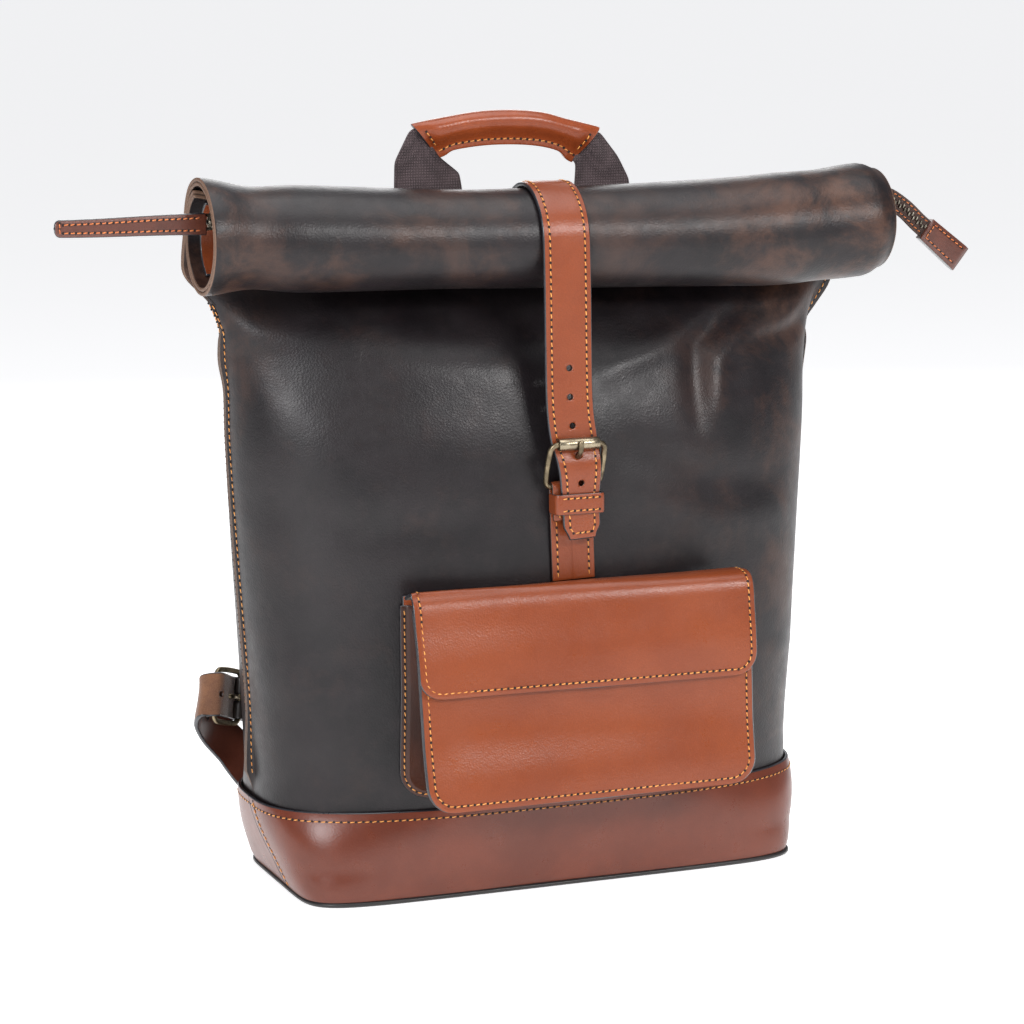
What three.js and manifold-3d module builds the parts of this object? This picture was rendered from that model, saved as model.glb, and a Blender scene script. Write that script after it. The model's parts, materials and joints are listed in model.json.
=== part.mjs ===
// A roll-top leather backpack, in millimetres. +Z is up and the front faces -Y.
// The origin is the middle of the underside of the base.
import * as THREE from "three";
import { mergeVertices } from "three/addons/utils/BufferGeometryUtils.js";
import Module from "manifold-3d";

const wasm = await Module();
wasm.setup();

// ---------------------------------------------------------------- driving dimensions

const LEATHER = 2.2; // thickness of the panel leather
const GAP = 0.3; // clearance between pieces that touch
const LIFT = 0.8; // clearance of a flat piece that lies on the rounded body
const YOKE = { half: 92, low: 316, high: 364, thick: 2 };
const ANCHOR = { thick: 2.4, lift: LIFT + YOKE.thick + 0.4 }; // patches sewn over the yoke
const BASE_TOP = 54; // height of the tan base band
const BOTTOM_THICK = 3;
const PANEL_INSET = LEATHER + 1.1; // the dark panels lie just inside the base band
const PANEL_LOW = 46; // the panels reach a little way down behind the base band
const PANEL_TOP = 375; // where the two panels lie flat together, under the roll
const LINING_TOP = 318;

// The body, station by station: height, half width at the side seams, front, back and seam in Y,
// and how square the section is (2 is an ellipse).
const STATIONS = [
  [0, 157, -77, 70, 0, 8],
  [54, 173, -80, 74, 0, 3.6],
  [130, 178, -85, 72, 0, 2.9],
  [210, 183, -85.5, 64, 0, 2.7],
  [270, 187, -82, 50, -4, 2.6],
  [310, 189, -70, 35, -10, 2.5],
  [335, 193, -54, 18, -15, 2.6],
  [355, 202, -36, 0, -19, 3.2],
  [375, 212, -25.5, -15, -20.3, 5],
];

// The roll: two leathers wound forwards together. Angles run from +Y towards +Z, in degrees.
const ROLL = { y: -57, z: 393, radius: 32, halfLength: 211, startY: -18, startAngle: 12 };
const WIND = { from: 190, to: 360, radius: 26.2, end: 430 }; // where the roll tightens, and its end
const BAND = { thick: 2, from: 300, to: 424, halfLength: 204 }; // leather band inside the mouth

const CHAIN = { y: -52, z: 402, high: 5, thick: 2.4, halfLength: 205 }; // zip teeth, as one bar
const TAPE = { thick: 0.8, top: 415.8, spread: 0.6 };
const SLIDER = { x: -198, length: 12, deep: 6.4, high: 11, pullX: -202.2 };
const SLIDER_CHANNEL = { deep: 3.4, slit: 3, high: 6 }; // the run of the teeth and of the tape
const BRIDGE = { half: 4.4, rise: 7, high: 4, leg: 1.6, root: 4, eyeHalf: 2.8, eyeRise: 5.6 };
const PULL = { length: 20, lip: 0.9, face: 5, back: 3.6, high: 10, windowEnd: 6.4, windowHigh: 6.4 };
const TAB = { from: -208, to: -294, low: 395.2, high: 406.6, front: -60.9, thick: 3.5 };
const TAIL = { x: 214.5, y: -54, z: 402, width: 11, thick: 2.4 };

const STRAP = { x: 2, width: 28, thick: 3, tipZ: 211, buckledY: -92.4, hangY: -91.5, hole: 2.1 };
const STRAP_HOLES = [312.4, 295.4, 278.4, 244.3];
const PRONG_SLOT = [254.5, 267.5]; // the prong goes through the strap between these heights
// The wire's middle line is this far beside the strap, and the roller this much shorter than the bar.
const BUCKLE = { wire: 1.7, beside: 3.1, rollerShort: 7, chape: 1.6, clear: 0.3, rollerWall: 0.9 };
const PRONG = { width: 2.6, thick: 1.6, eyeClear: 0.4, eyeWall: 1.3 };
const CLOSURE = { heelY: -86.9, heelZ: 243, rollerY: -97.1, rollerZ: 269, chapeZ: 191, chapeEnd: 224 };
const KEEPER = { low: 227, high: 240, front: -95.9, back: -85.4, wall: 1.7 };

const POCKET = { x: 1, halfWidth: 102, bottom: 64, top: 178, front: -119.5, corner: 15, leather: 2 };
const FLANGE = 4.5; // width of the gusset's flange, sewn to the front panel
const FLAP = { top: 189, bottom: 129, halfWidth: 103.5, thick: 2.4, front: -124.9, corner: 12 };
const MAGNET = { radius: 8, thick: 2, z: 142 };

// The handle turns about the stitching at the foot of its webbing legs, each given by its two sides.
const HANDLE = { y: -5, z: 366, lean: 7, left: [-78, -37], right: [35, 70], rise: 0.8, thick: 2.6 };
const GRIP = { from: -61, to: 41, height: 20.5, thick: 12, slant: 0.85, inside: 10 };

const SHOULDER = { width: 52, thick: 9, endWidth: 25, endThick: 3.2, billet: 25, billetThick: 3.2 };
// The shoulder strap's buckle: the middle of its outer bar, the way from its heel bar to that bar,
// and the direction of its width.
const SIDE_BUCKLE = { outer: [-177.8, 52.3, 105.9], along: [-0.8, -0.54, 0.27], length: 24 };
const SIDE_WIDTH = [-0.163, -0.235, -0.958];
// The shoulder strap's keeper, in the buckle's frame: its half width, its reach along the strap and
// its depth, outside and inside.
const SIDE_KEEPER = { outside: 15.4, inside: 13.6, from: -27, to: -17, low: -5.6, high: 10.6, wall: 1.6 };

const TAN = 0x9a4f2c;
const TAN_DARK = 0x5a2c1c;
const DARK = 0x35302e;
const BLACK = 0x1f1b1a;
const WEBBING = 0x3d3132;
const BRASS = 0x8a8066;
const CLOTH = 0x2a2a2e;

// ---------------------------------------------------------------- geometry helpers

const vec = (x, y, z) => new THREE.Vector3(x, y, z);
const mix = (a, b, t) => a + (b - a) * t;
const radians = THREE.MathUtils.degToRad;

// A smooth value from a table whose rows start with the height.
function station(table, z, column) {
  let k = 0;
  while (k < table.length - 2 && z > table[k + 1][0]) k++;
  const slope = (i) => {
    const a = table[Math.max(i - 1, 0)];
    const b = table[Math.min(i + 1, table.length - 1)];
    return (b[column] - a[column]) / (b[0] - a[0]);
  };
  const [from, to] = [table[k], table[k + 1]];
  const span = to[0] - from[0];
  const t = THREE.MathUtils.clamp((z - from[0]) / span, 0, 1);
  const [t2, t3] = [t * t, t * t * t];
  return (
    (2 * t3 - 3 * t2 + 1) * from[column] +
    (t3 - 2 * t2 + t) * span * slope(k) +
    (3 * t2 - 2 * t3) * to[column] +
    (t3 - t2) * span * slope(k + 1)
  );
}

// Makes an indexed geometry whose faces point outwards.
function geometryOf(points, faces) {
  const geometry = new THREE.BufferGeometry();
  geometry.setAttribute("position", new THREE.Float32BufferAttribute(points, 3));
  const at = (i) => vec(points[3 * i], points[3 * i + 1], points[3 * i + 2]);
  let volume = 0;
  for (let i = 0; i < faces.length; i += 3) {
    volume += at(faces[i]).dot(at(faces[i + 1]).cross(at(faces[i + 2])));
  }
  if (volume < 0) faces.reverse();
  geometry.setIndex(faces);
  geometry.computeVertexNormals();
  return geometry;
}

// A sheet of leather or cloth: outer(u, v) and inner(u, v) give its two faces, u and v from 0 to 1.
function sheet(outer, inner, across, along) {
  const [points, faces] = [[], []];
  const size = (across + 1) * (along + 1);
  const at = (side, i, j) => side * size + j * (across + 1) + i;
  for (const face of [outer, inner]) {
    for (let j = 0; j <= along; j++) {
      for (let i = 0; i <= across; i++) points.push(...face(i / across, j / along).toArray());
    }
  }
  const quad = (a, b, c, d) => faces.push(a, b, c, a, c, d);
  for (let j = 0; j < along; j++) {
    for (let i = 0; i < across; i++) {
      quad(at(0, i, j), at(0, i + 1, j), at(0, i + 1, j + 1), at(0, i, j + 1));
      quad(at(1, i, j + 1), at(1, i + 1, j + 1), at(1, i + 1, j), at(1, i, j));
    }
  }
  for (let i = 0; i < across; i++) {
    quad(at(0, i + 1, 0), at(0, i, 0), at(1, i, 0), at(1, i + 1, 0));
    quad(at(0, i, along), at(0, i + 1, along), at(1, i + 1, along), at(1, i, along));
  }
  for (let j = 0; j < along; j++) {
    quad(at(0, 0, j), at(0, 0, j + 1), at(1, 0, j + 1), at(1, 0, j));
    quad(at(0, across, j + 1), at(0, across, j), at(1, across, j), at(1, across, j + 1));
  }
  return geometryOf(points, faces);
}

// Joins rings of points into one closed solid; its two ends are flat and convex.
function loft(rings) {
  const count = rings[0].length;
  const faces = [];
  const points = rings.flat().flatMap((p) => p.toArray());
  rings.slice(1).forEach((_, k) => {
    for (let i = 0; i < count; i++) {
      const [a, b] = [k * count + i, k * count + ((i + 1) % count)];
      faces.push(a, b, b + count, a, b + count, a + count);
    }
  });
  const last = (rings.length - 1) * count;
  for (let i = 1; i < count - 1; i++) faces.push(0, i + 1, i, last, last + i, last + i + 1);
  return geometryOf(points, faces);
}

// A flat strap along a curve. side(t) is the direction of its width, width(t) how wide it is,
// and thick(t) how thick.
function strap(curve, steps, side, width, thick) {
  const rings = [];
  for (let k = 0; k <= steps; k++) {
    const t = k / steps;
    const middle = curve.getPointAt(t);
    const along = curve.getTangentAt(t);
    const across = side(t).clone();
    across.addScaledVector(along, -across.dot(along)).normalize();
    const up = vec(0, 0, 0).crossVectors(along, across);
    const corner = (a, b) =>
      middle.clone().addScaledVector(across, (a * width(t)) / 2).addScaledVector(up, (b * thick(t)) / 2);
    rings.push([corner(-1, -1), corner(1, -1), corner(1, 1), corner(-1, 1)]);
  }
  return loft(rings);
}

const curveOf = (points, tension = 0.5) =>
  new THREE.CatmullRomCurve3(points.map((p) => vec(...p)), false, "catmullrom", tension);

// manifold-3d only joins and cuts solids made above.
function solidOf(geometry) {
  const bare = geometry.index ? geometry.toNonIndexed() : geometry.clone();
  for (const name of Object.keys(bare.attributes)) if (name !== "position") bare.deleteAttribute(name);
  const merged = mergeVertices(bare, 1e-4);
  return new wasm.Manifold(
    new wasm.Mesh({
      numProp: 3,
      vertProperties: merged.attributes.position.array,
      triVerts: new Uint32Array(merged.index.array),
    }),
  );
}

function geometryFrom(solid) {
  const { numProp, vertProperties, triVerts } = solid.getMesh();
  const points = [];
  for (let i = 0; i < vertProperties.length; i += numProp) {
    points.push(vertProperties[i], vertProperties[i + 1], vertProperties[i + 2]);
  }
  return geometryOf(points, Array.from(triVerts));
}

const cut = (geometry, ...tools) =>
  geometryFrom(tools.reduce((solid, tool) => solid.subtract(solidOf(tool)), solidOf(geometry)));
const join = (first, ...others) =>
  geometryFrom(others.reduce((solid, other) => solid.add(solidOf(other)), solidOf(first)));

const boxAt = (low, high) =>
  new THREE.BoxGeometry(high[0] - low[0], high[1] - low[1], high[2] - low[2]).translate(
    (low[0] + high[0]) / 2,
    (low[1] + high[1]) / 2,
    (low[2] + high[2]) / 2,
  );

// ---------------------------------------------------------------- the assembly

const backpack = new THREE.Group();

function add(name, geometry, color, roughness = 0.6, metalness = 0, parent = backpack) {
  const material = new THREE.MeshStandardMaterial({ color, roughness, metalness });
  const mesh = new THREE.Mesh(geometry, material);
  mesh.name = name;
  parent.add(mesh);
  return mesh;
}

// ---------------------------------------------------------------- body, base and lining

// Half of the body's section at a height: side -1 is the front and 1 the back.
// Points run from the +X seam (s = 0) to the -X seam (s = 1), evenly spaced.
const sectionCache = new Map();
function section(side, z) {
  const key = `${side},${z.toFixed(3)}`;
  if (sectionCache.has(key)) return sectionCache.get(key);
  const half = station(STATIONS, z, 1);
  const seam = station(STATIONS, z, 4);
  const depth = station(STATIONS, z, side < 0 ? 2 : 3) - seam;
  const power = 2 / station(STATIONS, z, 5);
  const steps = 400;
  const line = [];
  for (let k = 0; k <= steps; k++) {
    const turn = (Math.PI * k) / steps;
    const x = half * Math.sign(Math.cos(turn)) * Math.abs(Math.cos(turn)) ** power;
    line.push(new THREE.Vector2(x, seam + depth * Math.sin(turn) ** power));
  }
  const length = [0];
  for (let k = 1; k <= steps; k++) length.push(length[k - 1] + line[k].distanceTo(line[k - 1]));
  const made = { line, length, total: length[steps] };
  sectionCache.set(key, made);
  return made;
}

function sectionPoint(side, s, z) {
  const { line, length, total } = section(side, z);
  const want = THREE.MathUtils.clamp(s, 0, 1) * total;
  let [low, high] = [0, length.length - 1];
  while (high - low > 1) {
    const middle = (low + high) >> 1;
    if (length[middle] > want) high = middle;
    else low = middle;
  }
  const share = (want - length[low]) / Math.max(length[high] - length[low], 1e-9);
  return line[low].clone().lerp(line[high], share);
}

// A point of the body, moved inwards from its outer face; a negative inset moves it outwards.
function bodyPoint(side, s, z, inset = 0) {
  const here = sectionPoint(side, s, z);
  const step = 0.004;
  const along = sectionPoint(side, s + step, z).sub(sectionPoint(side, s - step, z)).normalize();
  const outwards = new THREE.Vector2(-along.y, along.x).multiplyScalar(-side);
  const point = here.addScaledVector(outwards, -inset);
  const seam = station(STATIONS, z, 4);
  const clear = GAP / 2;
  point.y = side < 0 ? Math.min(point.y, seam - clear) : Math.max(point.y, seam + clear);
  return vec(point.x, point.y, z);
}

// How far round the section a given x lies.
function shareAt(side, x, z) {
  let [low, high] = [0, 1];
  for (let k = 0; k < 24; k++) {
    const middle = (low + high) / 2;
    if (sectionPoint(side, middle, z).x > x) low = middle;
    else high = middle;
  }
  return (low + high) / 2;
}

// The Y of the panel leather's outer face, at any x and height, moved outwards by lift.
const surfaceY = (side, x, z, lift = 0) =>
  bodyPoint(side, shareAt(side, x, z), z, PANEL_INSET - lift).y;

function bodySheet(side, low, high, outer, thick, across, along, trim) {
  const face = (inset) => (u, v) => {
    const z = mix(low, high, v);
    const end = trim(z) / section(side, z).total;
    return bodyPoint(side, mix(end, 1 - end, u), z, inset);
  };
  return sheet(face(outer), face(outer + thick), across, along);
}

// A flat piece that lies on the body between two x and two heights.
function patch(side, [fromX, toX], [low, high], lift, thick, across, along, base = PANEL_INSET) {
  const face = (inset) => (u, v) => {
    const z = mix(low, high, v);
    return bodyPoint(side, shareAt(side, mix(fromX, toX, u), z), z, inset);
  };
  return sheet(face(base - lift - thick), face(base - lift), across, along);
}

// Towards the top the two panels stop short of the seam, where their edges are turned in.
const seamAllowance = (z) => 0.4 + 9 * THREE.MathUtils.smoothstep(z, 330, PANEL_TOP);

function addBody() {
  const across = 20;
  for (const [side, name] of [[-1, "front"], [1, "back"]]) {
    const panel = bodySheet(side, PANEL_LOW, PANEL_TOP, PANEL_INSET, LEATHER, across, 12, seamAllowance);
    const band = bodySheet(side, BOTTOM_THICK + GAP, BASE_TOP, 0, LEATHER, across, 3, seamAllowance);
    add(`${name}_panel`, panel, DARK, 0.55);
    add(`base_${name}`, band, TAN, 0.45);
  }
}

// The outline of the body at one height, all the way round.
function outline(z, inset, count) {
  const points = [];
  for (const side of [-1, 1]) {
    for (let k = 0; k < count; k++) {
      points.push(bodyPoint(side, side < 0 ? k / count : 1 - k / count, z, inset));
    }
  }
  return points;
}

function plate(z, inset, thick) {
  const shape = new THREE.Shape(outline(z, inset, 20).map((p) => new THREE.Vector2(p.x, p.y)));
  return new THREE.ExtrudeGeometry(shape, { depth: thick, bevelEnabled: false }).translate(0, 0, z);
}

function addBottom() {
  add("bottom_panel", plate(0, 0.4, BOTTOM_THICK), BLACK, 0.5);
  add("bottom_board", plate(BOTTOM_THICK + GAP, 6, 2), 0x6d5a45, 0.9);
}

// The lining is a cloth bag, open at the top.
function addLining() {
  const inset = PANEL_INSET + LEATHER + 3.5;
  const cloth = 1;
  const floor = BOTTOM_THICK + 2 + 2 * GAP;
  const heights = [floor, 30, 110, 200, 270, LINING_TOP];
  const ring = (z, more, at = z) => outline(z, inset + more, 10).map((p) => p.setZ(at));
  const outer = loft(heights.map((z) => ring(z, 0)));
  const inner = loft([
    ring(floor, cloth, floor + cloth),
    ...heights.slice(1).map((z) => ring(z, cloth)),
    ring(LINING_TOP, cloth, LINING_TOP + 1),
  ]);
  add("lining", cut(outer, inner), CLOTH, 0.9);
}

// ---------------------------------------------------------------- the rolled mouth

const rollRadius = (angle) =>
  mix(ROLL.radius, WIND.radius, THREE.MathUtils.clamp((angle - WIND.from) / (WIND.to - WIND.from), 0, 1));

const roundRoll = (angle, radius) =>
  new THREE.Vector2(
    ROLL.y + radius * Math.cos(radians(angle)),
    ROLL.z + radius * Math.sin(radians(angle)),
  );

// The leather rises from the top of the panels and then winds round.
const rollStart = new THREE.CubicBezierCurve(
  new THREE.Vector2(ROLL.startY, PANEL_TOP + 1),
  new THREE.Vector2(ROLL.startY - 0.6, PANEL_TOP + 9),
  roundRoll(ROLL.startAngle, ROLL.radius).add(new THREE.Vector2(1.8, -8)),
  roundRoll(ROLL.startAngle, ROLL.radius),
);

// Outer face of the wound leather: steps below zero are the rise, and the rest are angles.
function rollFace(angle) {
  if (angle < ROLL.startAngle) return rollStart.getPoint(1 + (angle - ROLL.startAngle) / 40);
  return roundRoll(angle, rollRadius(angle));
}

function rollPoint(angle, offset) {
  const step = 0.5;
  const along = rollFace(angle + step).sub(rollFace(angle - step)).normalize();
  return rollFace(angle).add(new THREE.Vector2(-along.y, along.x).multiplyScalar(offset));
}

function rollSheet(from, to, offset, thick, half, steps) {
  const face = (depth) => (u, v) => {
    const p = rollPoint(mix(from, to, v), depth);
    return vec(mix(-half, half, u), p.x, p.y);
  };
  return sheet(face(offset), face(offset + thick), 3, steps);
}

function addRoll() {
  const rise = ROLL.startAngle - 39.5;
  const second = LEATHER + GAP;
  add("roll_back_leather", rollSheet(rise, WIND.end, 0, LEATHER, ROLL.halfLength, 36), DARK, 0.5);
  add("roll_front_leather", rollSheet(rise, WIND.end, second, LEATHER, ROLL.halfLength, 36), DARK, 0.5);
  const inside = 2 * second;
  add("mouth_band", rollSheet(BAND.from, BAND.to, inside, BAND.thick, BAND.halfLength, 10), TAN, 0.5);
}

// ---------------------------------------------------------------- zip

function addZip() {
  const { y, z, high, thick, halfLength } = CHAIN;
  const top = z + high / 2;
  const bar = boxAt([-halfLength, y - thick / 2, z - high / 2], [halfLength, y + thick / 2, top]);
  add("zip_teeth", bar, BRASS, 0.4, 0.9);
  for (const [side, name] of [[-1, "front"], [1, "rear"]]) {
    const middle = y + side * TAPE.spread;
    const [low, high] = [middle - TAPE.thick / 2, middle + TAPE.thick / 2];
    add(`zip_tape_${name}`, boxAt([-203, low, top + GAP], [203, high, TAPE.top]), TAN_DARK, 0.9);
  }
}

function addSlider() {
  const { x, length, deep, high: tall, pullX } = SLIDER;
  const { y, z } = CHAIN;
  const { half, rise, high: bridgeHigh, leg, root, eyeHalf, eyeRise } = BRIDGE;
  const shell = y - deep / 2 + 0.2; // the bridge grows out of the shell a little
  const around = (deepAll, low, up, reach) =>
    boxAt([x - reach, y - deepAll / 2, z + low], [x + reach, y + deepAll / 2, z + up]);
  const body = around(deep, -tall / 2, tall / 2, length / 2);
  const channel = around(SLIDER_CHANNEL.deep, -SLIDER_CHANNEL.high / 2, SLIDER_CHANNEL.high / 2, length);
  const slit = around(SLIDER_CHANNEL.slit, 0, tall, length);
  // The bridge that holds the pull stands on the slider's front.
  const [under, over] = [z - bridgeHigh / 2, z + bridgeHigh / 2];
  const bridge = boxAt([pullX - half, y - rise, under], [pullX + half, shell, over]);
  const eye = boxAt([pullX - eyeHalf, y - eyeRise, z - bridgeHigh], [pullX + eyeHalf, shell, z + bridgeHigh]);
  const foot = (at) => boxAt([at - leg / 2, y - root, under], [at + leg / 2, shell, over]);
  const arch = cut(bridge, eye);
  const solid = join(cut(body, channel, slit), arch, foot(pullX - half), foot(pullX + half));
  add("zip_slider", cut(solid, channel), BRASS, 0.4, 0.9);

  const { length: pullLength, lip, face, back, high: pullHigh, windowEnd, windowHigh } = PULL;
  const across = (xs, ys, tallness) =>
    boxAt([pullX + xs[0], y + ys[0], z - tallness / 2], [pullX + xs[1], y + ys[1], z + tallness / 2]);
  const plate = across([-pullLength, lip], [-face, -back], pullHigh);
  const window = across([-windowEnd, -lip], [-rise, 0], windowHigh);
  add("zip_pull", cut(plate, window), BRASS, 0.4, 0.9);

  const { from, to, low, high, front, thick: tabThick } = TAB;
  const shape = new THREE.Shape();
  const soft = 3;
  shape.moveTo(from, low);
  shape.lineTo(from, high);
  shape.lineTo(to + soft, high - 0.6);
  shape.absarc(to + soft, high - soft - 0.6, soft, radians(90), radians(180), false);
  shape.absarc(to + soft, low + soft + 2, soft, radians(180), radians(270), false);
  const tab = new THREE.ExtrudeGeometry(shape, { depth: tabThick, bevelEnabled: false, curveSegments: 4 });
  add("pull_tab", tab.rotateX(Math.PI / 2).translate(0, front + tabThick, 0), TAN, 0.5);
}

// The zip runs past the right-hand end of the roll, droops and ends in a folded leather cap.
function addTail() {
  const { x, y, z, width, thick } = TAIL;
  const depth = vec(0, 1, 0);
  const path = curveOf([
    [x + 1, y, z],
    [x + 9, y, z - 1],
    [x + 20, y, z - 8],
    [x + 30, y, z - 17],
    [x + 41, y, z - 26],
    [x + 52, y, z - 35],
  ]);
  const acrossAt = (t) => vec(0, 0, 0).crossVectors(path.getTangentAt(t), depth);
  const tape = strap(path, 14, acrossAt, () => width, () => thick);
  add("tail_tape", tape, TAN_DARK, 0.9);
  const teethPath = curveOf(path.getPoints(12).slice(0, 8).map((p) => [p.x, y - thick / 2 - 1.2, p.z]));
  add("tail_teeth", strap(teethPath, 12, () => vec(-0.6, 0, -0.8), () => 3, () => 1.6), BRASS, 0.4, 0.9);
  const capPath = curveOf([0.62, 0.8, 1, 1.12].map((t) => {
    const end = path.getPointAt(Math.min(t, 1));
    return end.addScaledVector(path.getTangentAt(1), t > 1 ? 9 : 0).toArray();
  }));
  const capAcross = () => acrossAt(1);
  const cap = strap(capPath, 6, capAcross, (t) => mix(15, 17, t), () => 7.4);
  const hollow = strap(path, 14, acrossAt, () => width + 2 * GAP, () => thick + 2 * GAP);
  add("tail_cap", cut(cap, hollow), TAN, 0.5);
}

// ---------------------------------------------------------------- buckles

// A buckle is drawn in its own frame: x along its bars, y from the heel bar at the origin to the
// outer bar, and z towards the side that the prong lies on.
function placedAt(origin, along, up) {
  const y = along.clone().normalize();
  const x = vec(0, 0, 0).crossVectors(y, up).normalize();
  const z = vec(0, 0, 0).crossVectors(x, y);
  return new THREE.Matrix4().makeBasis(x, y, z).setPosition(origin);
}

// A closed wire loop in the xy plane.
function hoop(points, radius, sides = 6) {
  const count = points.length;
  const rows = points.map((p, k) => {
    const along = points[(k + 1) % count].clone().sub(points[(k + count - 1) % count]).normalize();
    return Array.from({ length: sides }, (_, i) => {
      const turn = (2 * Math.PI * (i + 0.5)) / sides;
      const out = radius * Math.cos(turn);
      return vec(p.x + along.y * out, p.y - along.x * out, radius * Math.sin(turn));
    });
  });
  const faces = [];
  rows.forEach((_, k) => {
    const next = (k + 1) % count;
    for (let i = 0; i < sides; i++) {
      const after = (i + 1) % sides;
      const [a, b] = [k * sides + i, k * sides + after];
      const [c, d] = [next * sides + after, next * sides + i];
      faces.push(a, b, c, a, c, d);
    }
  });
  return geometryOf(rows.flat().flatMap((p) => p.toArray()), faces);
}

function frameWire(halfWidth, length) {
  const corner = 3;
  const points = [];
  const corners = [
    [halfWidth - corner, length - corner, 0],
    [corner - halfWidth, length - corner, 90],
    [corner - halfWidth, corner, 180],
    [halfWidth - corner, corner, 270],
  ];
  for (const [x, y, from] of corners) {
    for (let k = 0; k <= 3; k++) {
      const turn = radians(from + 30 * k);
      points.push(new THREE.Vector2(x + corner * Math.cos(turn), y + corner * Math.sin(turn)));
    }
  }
  return hoop(points, BUCKLE.wire);
}

function tubeAlongX(inner, outer, length, quarter = 3) {
  const shape = new THREE.Shape().absarc(0, 0, outer, 0, 2 * Math.PI, false);
  shape.holes.push(new THREE.Path().absarc(0, 0, inner, 0, 2 * Math.PI, true));
  const options = { depth: length, bevelEnabled: false, curveSegments: 2 * quarter };
  return new THREE.ExtrudeGeometry(shape, options).translate(0, 0, -length / 2).rotateY(Math.PI / 2);
}

const rollerInner = BUCKLE.wire + BUCKLE.clear;
const rollerOuter = rollerInner + BUCKLE.rollerWall;

// The prong has an eye round the heel bar, dips behind the strap, comes up through its hole and
// lies on the roller.
function prongShape(length) {
  const inner = BUCKLE.wire + PRONG.eyeClear;
  const eye = tubeAlongX(inner, inner + PRONG.eyeWall, PRONG.width);
  const path = curveOf([
    [0, 2.7, -0.6],
    [0, 0.28 * length, -2.7],
    [0, 0.5 * length, -4.1],
    [0, 0.64 * length, -4],
    [0, 0.77 * length, -0.4],
    [0, 0.91 * length, 3.2],
    [0, length, 4.1],
    [0, length + 3, 4],
  ]);
  const tongue = strap(path, 12, () => vec(1, 0, 0), () => PRONG.width, () => PRONG.thick);
  return join(eye, tongue);
}

// Leather folded round the heel bar: a back layer and a front layer of their own lengths.
function chapeFold(width, backLength, frontLength, slotTo) {
  const inner = BUCKLE.wire + BUCKLE.clear;
  const outer = inner + BUCKLE.chape;
  const shape = new THREE.Shape();
  shape.moveTo(-backLength, -outer);
  shape.lineTo(0, -outer);
  shape.absarc(0, 0, outer, radians(-90), radians(90), false);
  shape.lineTo(-frontLength, outer);
  shape.lineTo(-frontLength, inner);
  shape.lineTo(0, inner);
  shape.absarc(0, 0, inner, radians(90), radians(-90), true);
  shape.lineTo(-backLength, -inner);
  const options = { depth: width, bevelEnabled: false, curveSegments: 6 };
  const fold = new THREE.ExtrudeGeometry(shape, options).translate(0, 0, -width / 2);
  // The shape's x becomes y, its y becomes z and its depth becomes x.
  const turned = new THREE.Matrix4().makeBasis(vec(0, 1, 0), vec(0, 0, 1), vec(1, 0, 0));
  const slot = boxAt([-2.4, -6, -6], [2.4, slotTo, 6]);
  return cut(fold.applyMatrix4(turned), slot);
}

// Adds a buckle's frame, roller and prong.
function addBuckle(prefix, place, strapWidth, length, put = add) {
  const half = strapWidth / 2 + BUCKLE.beside;
  const roller = tubeAlongX(rollerInner, rollerOuter, 2 * half - BUCKLE.rollerShort);
  put(`${prefix}_frame`, frameWire(half, length).applyMatrix4(place), BRASS, 0.35, 1);
  put(`${prefix}_roller`, roller.translate(0, length, 0).applyMatrix4(place), BRASS, 0.3, 1);
  put(`${prefix}_prong`, prongShape(length).applyMatrix4(place), BRASS, 0.35, 1);
}

// ---------------------------------------------------------------- closing strap

function addClosure() {
  const { x, width, thick, tipZ } = STRAP;
  const rise = [336, 346, 356, 366].map((z) => [x, surfaceY(1, x, z, 5.6), z]);
  const round = [];
  for (let angle = 22; angle <= 180; angle += 15.8) {
    const p = roundRoll(angle, ROLL.radius + 0.8 + thick / 2);
    round.push([x, p.x, p.y]);
  }
  const path = curveOf([
    ...rise,
    [x, ROLL.startY + 2.8, PANEL_TOP + 3],
    [x, ROLL.startY - 1.6, PANEL_TOP + 14],
    ...round,
    [x, STRAP.hangY, 372],
    [x, STRAP.hangY, 330],
    [x, STRAP.hangY - 0.1, 290],
    [x, STRAP.hangY - 0.4, 268],
    [x, STRAP.buckledY, 246],
    [x, STRAP.buckledY, 232],
    [x, STRAP.buckledY, tipZ],
  ]);
  const tip = (t) => mix(1, 0.66, THREE.MathUtils.smoothstep(t, 0.968, 1));
  const whole = strap(path, 60, () => vec(1, 0, 0), (t) => width * tip(t), () => thick);
  const holes = STRAP_HOLES.map((z) =>
    new THREE.CylinderGeometry(STRAP.hole, STRAP.hole, 20, 10).translate(x, STRAP.buckledY, z),
  );
  const [low, high] = PRONG_SLOT;
  const slot = boxAt([x - 2.3, STRAP.buckledY - 8, low], [x + 2.3, STRAP.buckledY + 8, high]);
  add("closing_strap", cut(whole, ...holes, slot), TAN, 0.45);

  const { heelY, heelZ, rollerY, rollerZ, chapeZ, chapeEnd } = CLOSURE;
  const heel = vec(x, heelY, heelZ);
  const outer = vec(x, rollerY, rollerZ);
  const length = heel.distanceTo(outer);
  const front = vec(0, -1, 0);
  addBuckle("closing_buckle", placedAt(heel, outer.sub(heel), front), width, length);
  const chape = chapeFold(width, heelZ - chapeZ, heelZ - chapeEnd, 6);
  add("buckle_chape", chape.applyMatrix4(placedAt(heel, vec(0, 0, 1), front)), TAN, 0.45);

  const inside = width / 2 + 0.5;
  const { low: from, high: to, front: face, back, wall } = KEEPER;
  const ring = boxAt([x - inside - wall, face, from], [x + inside + wall, back, to]);
  const room = boxAt([x - inside, face + wall, from - 1], [x + inside, back + 1, to + 1]);
  add("strap_keeper", cut(ring, room), TAN, 0.45);
}

// ---------------------------------------------------------------- front pocket

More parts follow.
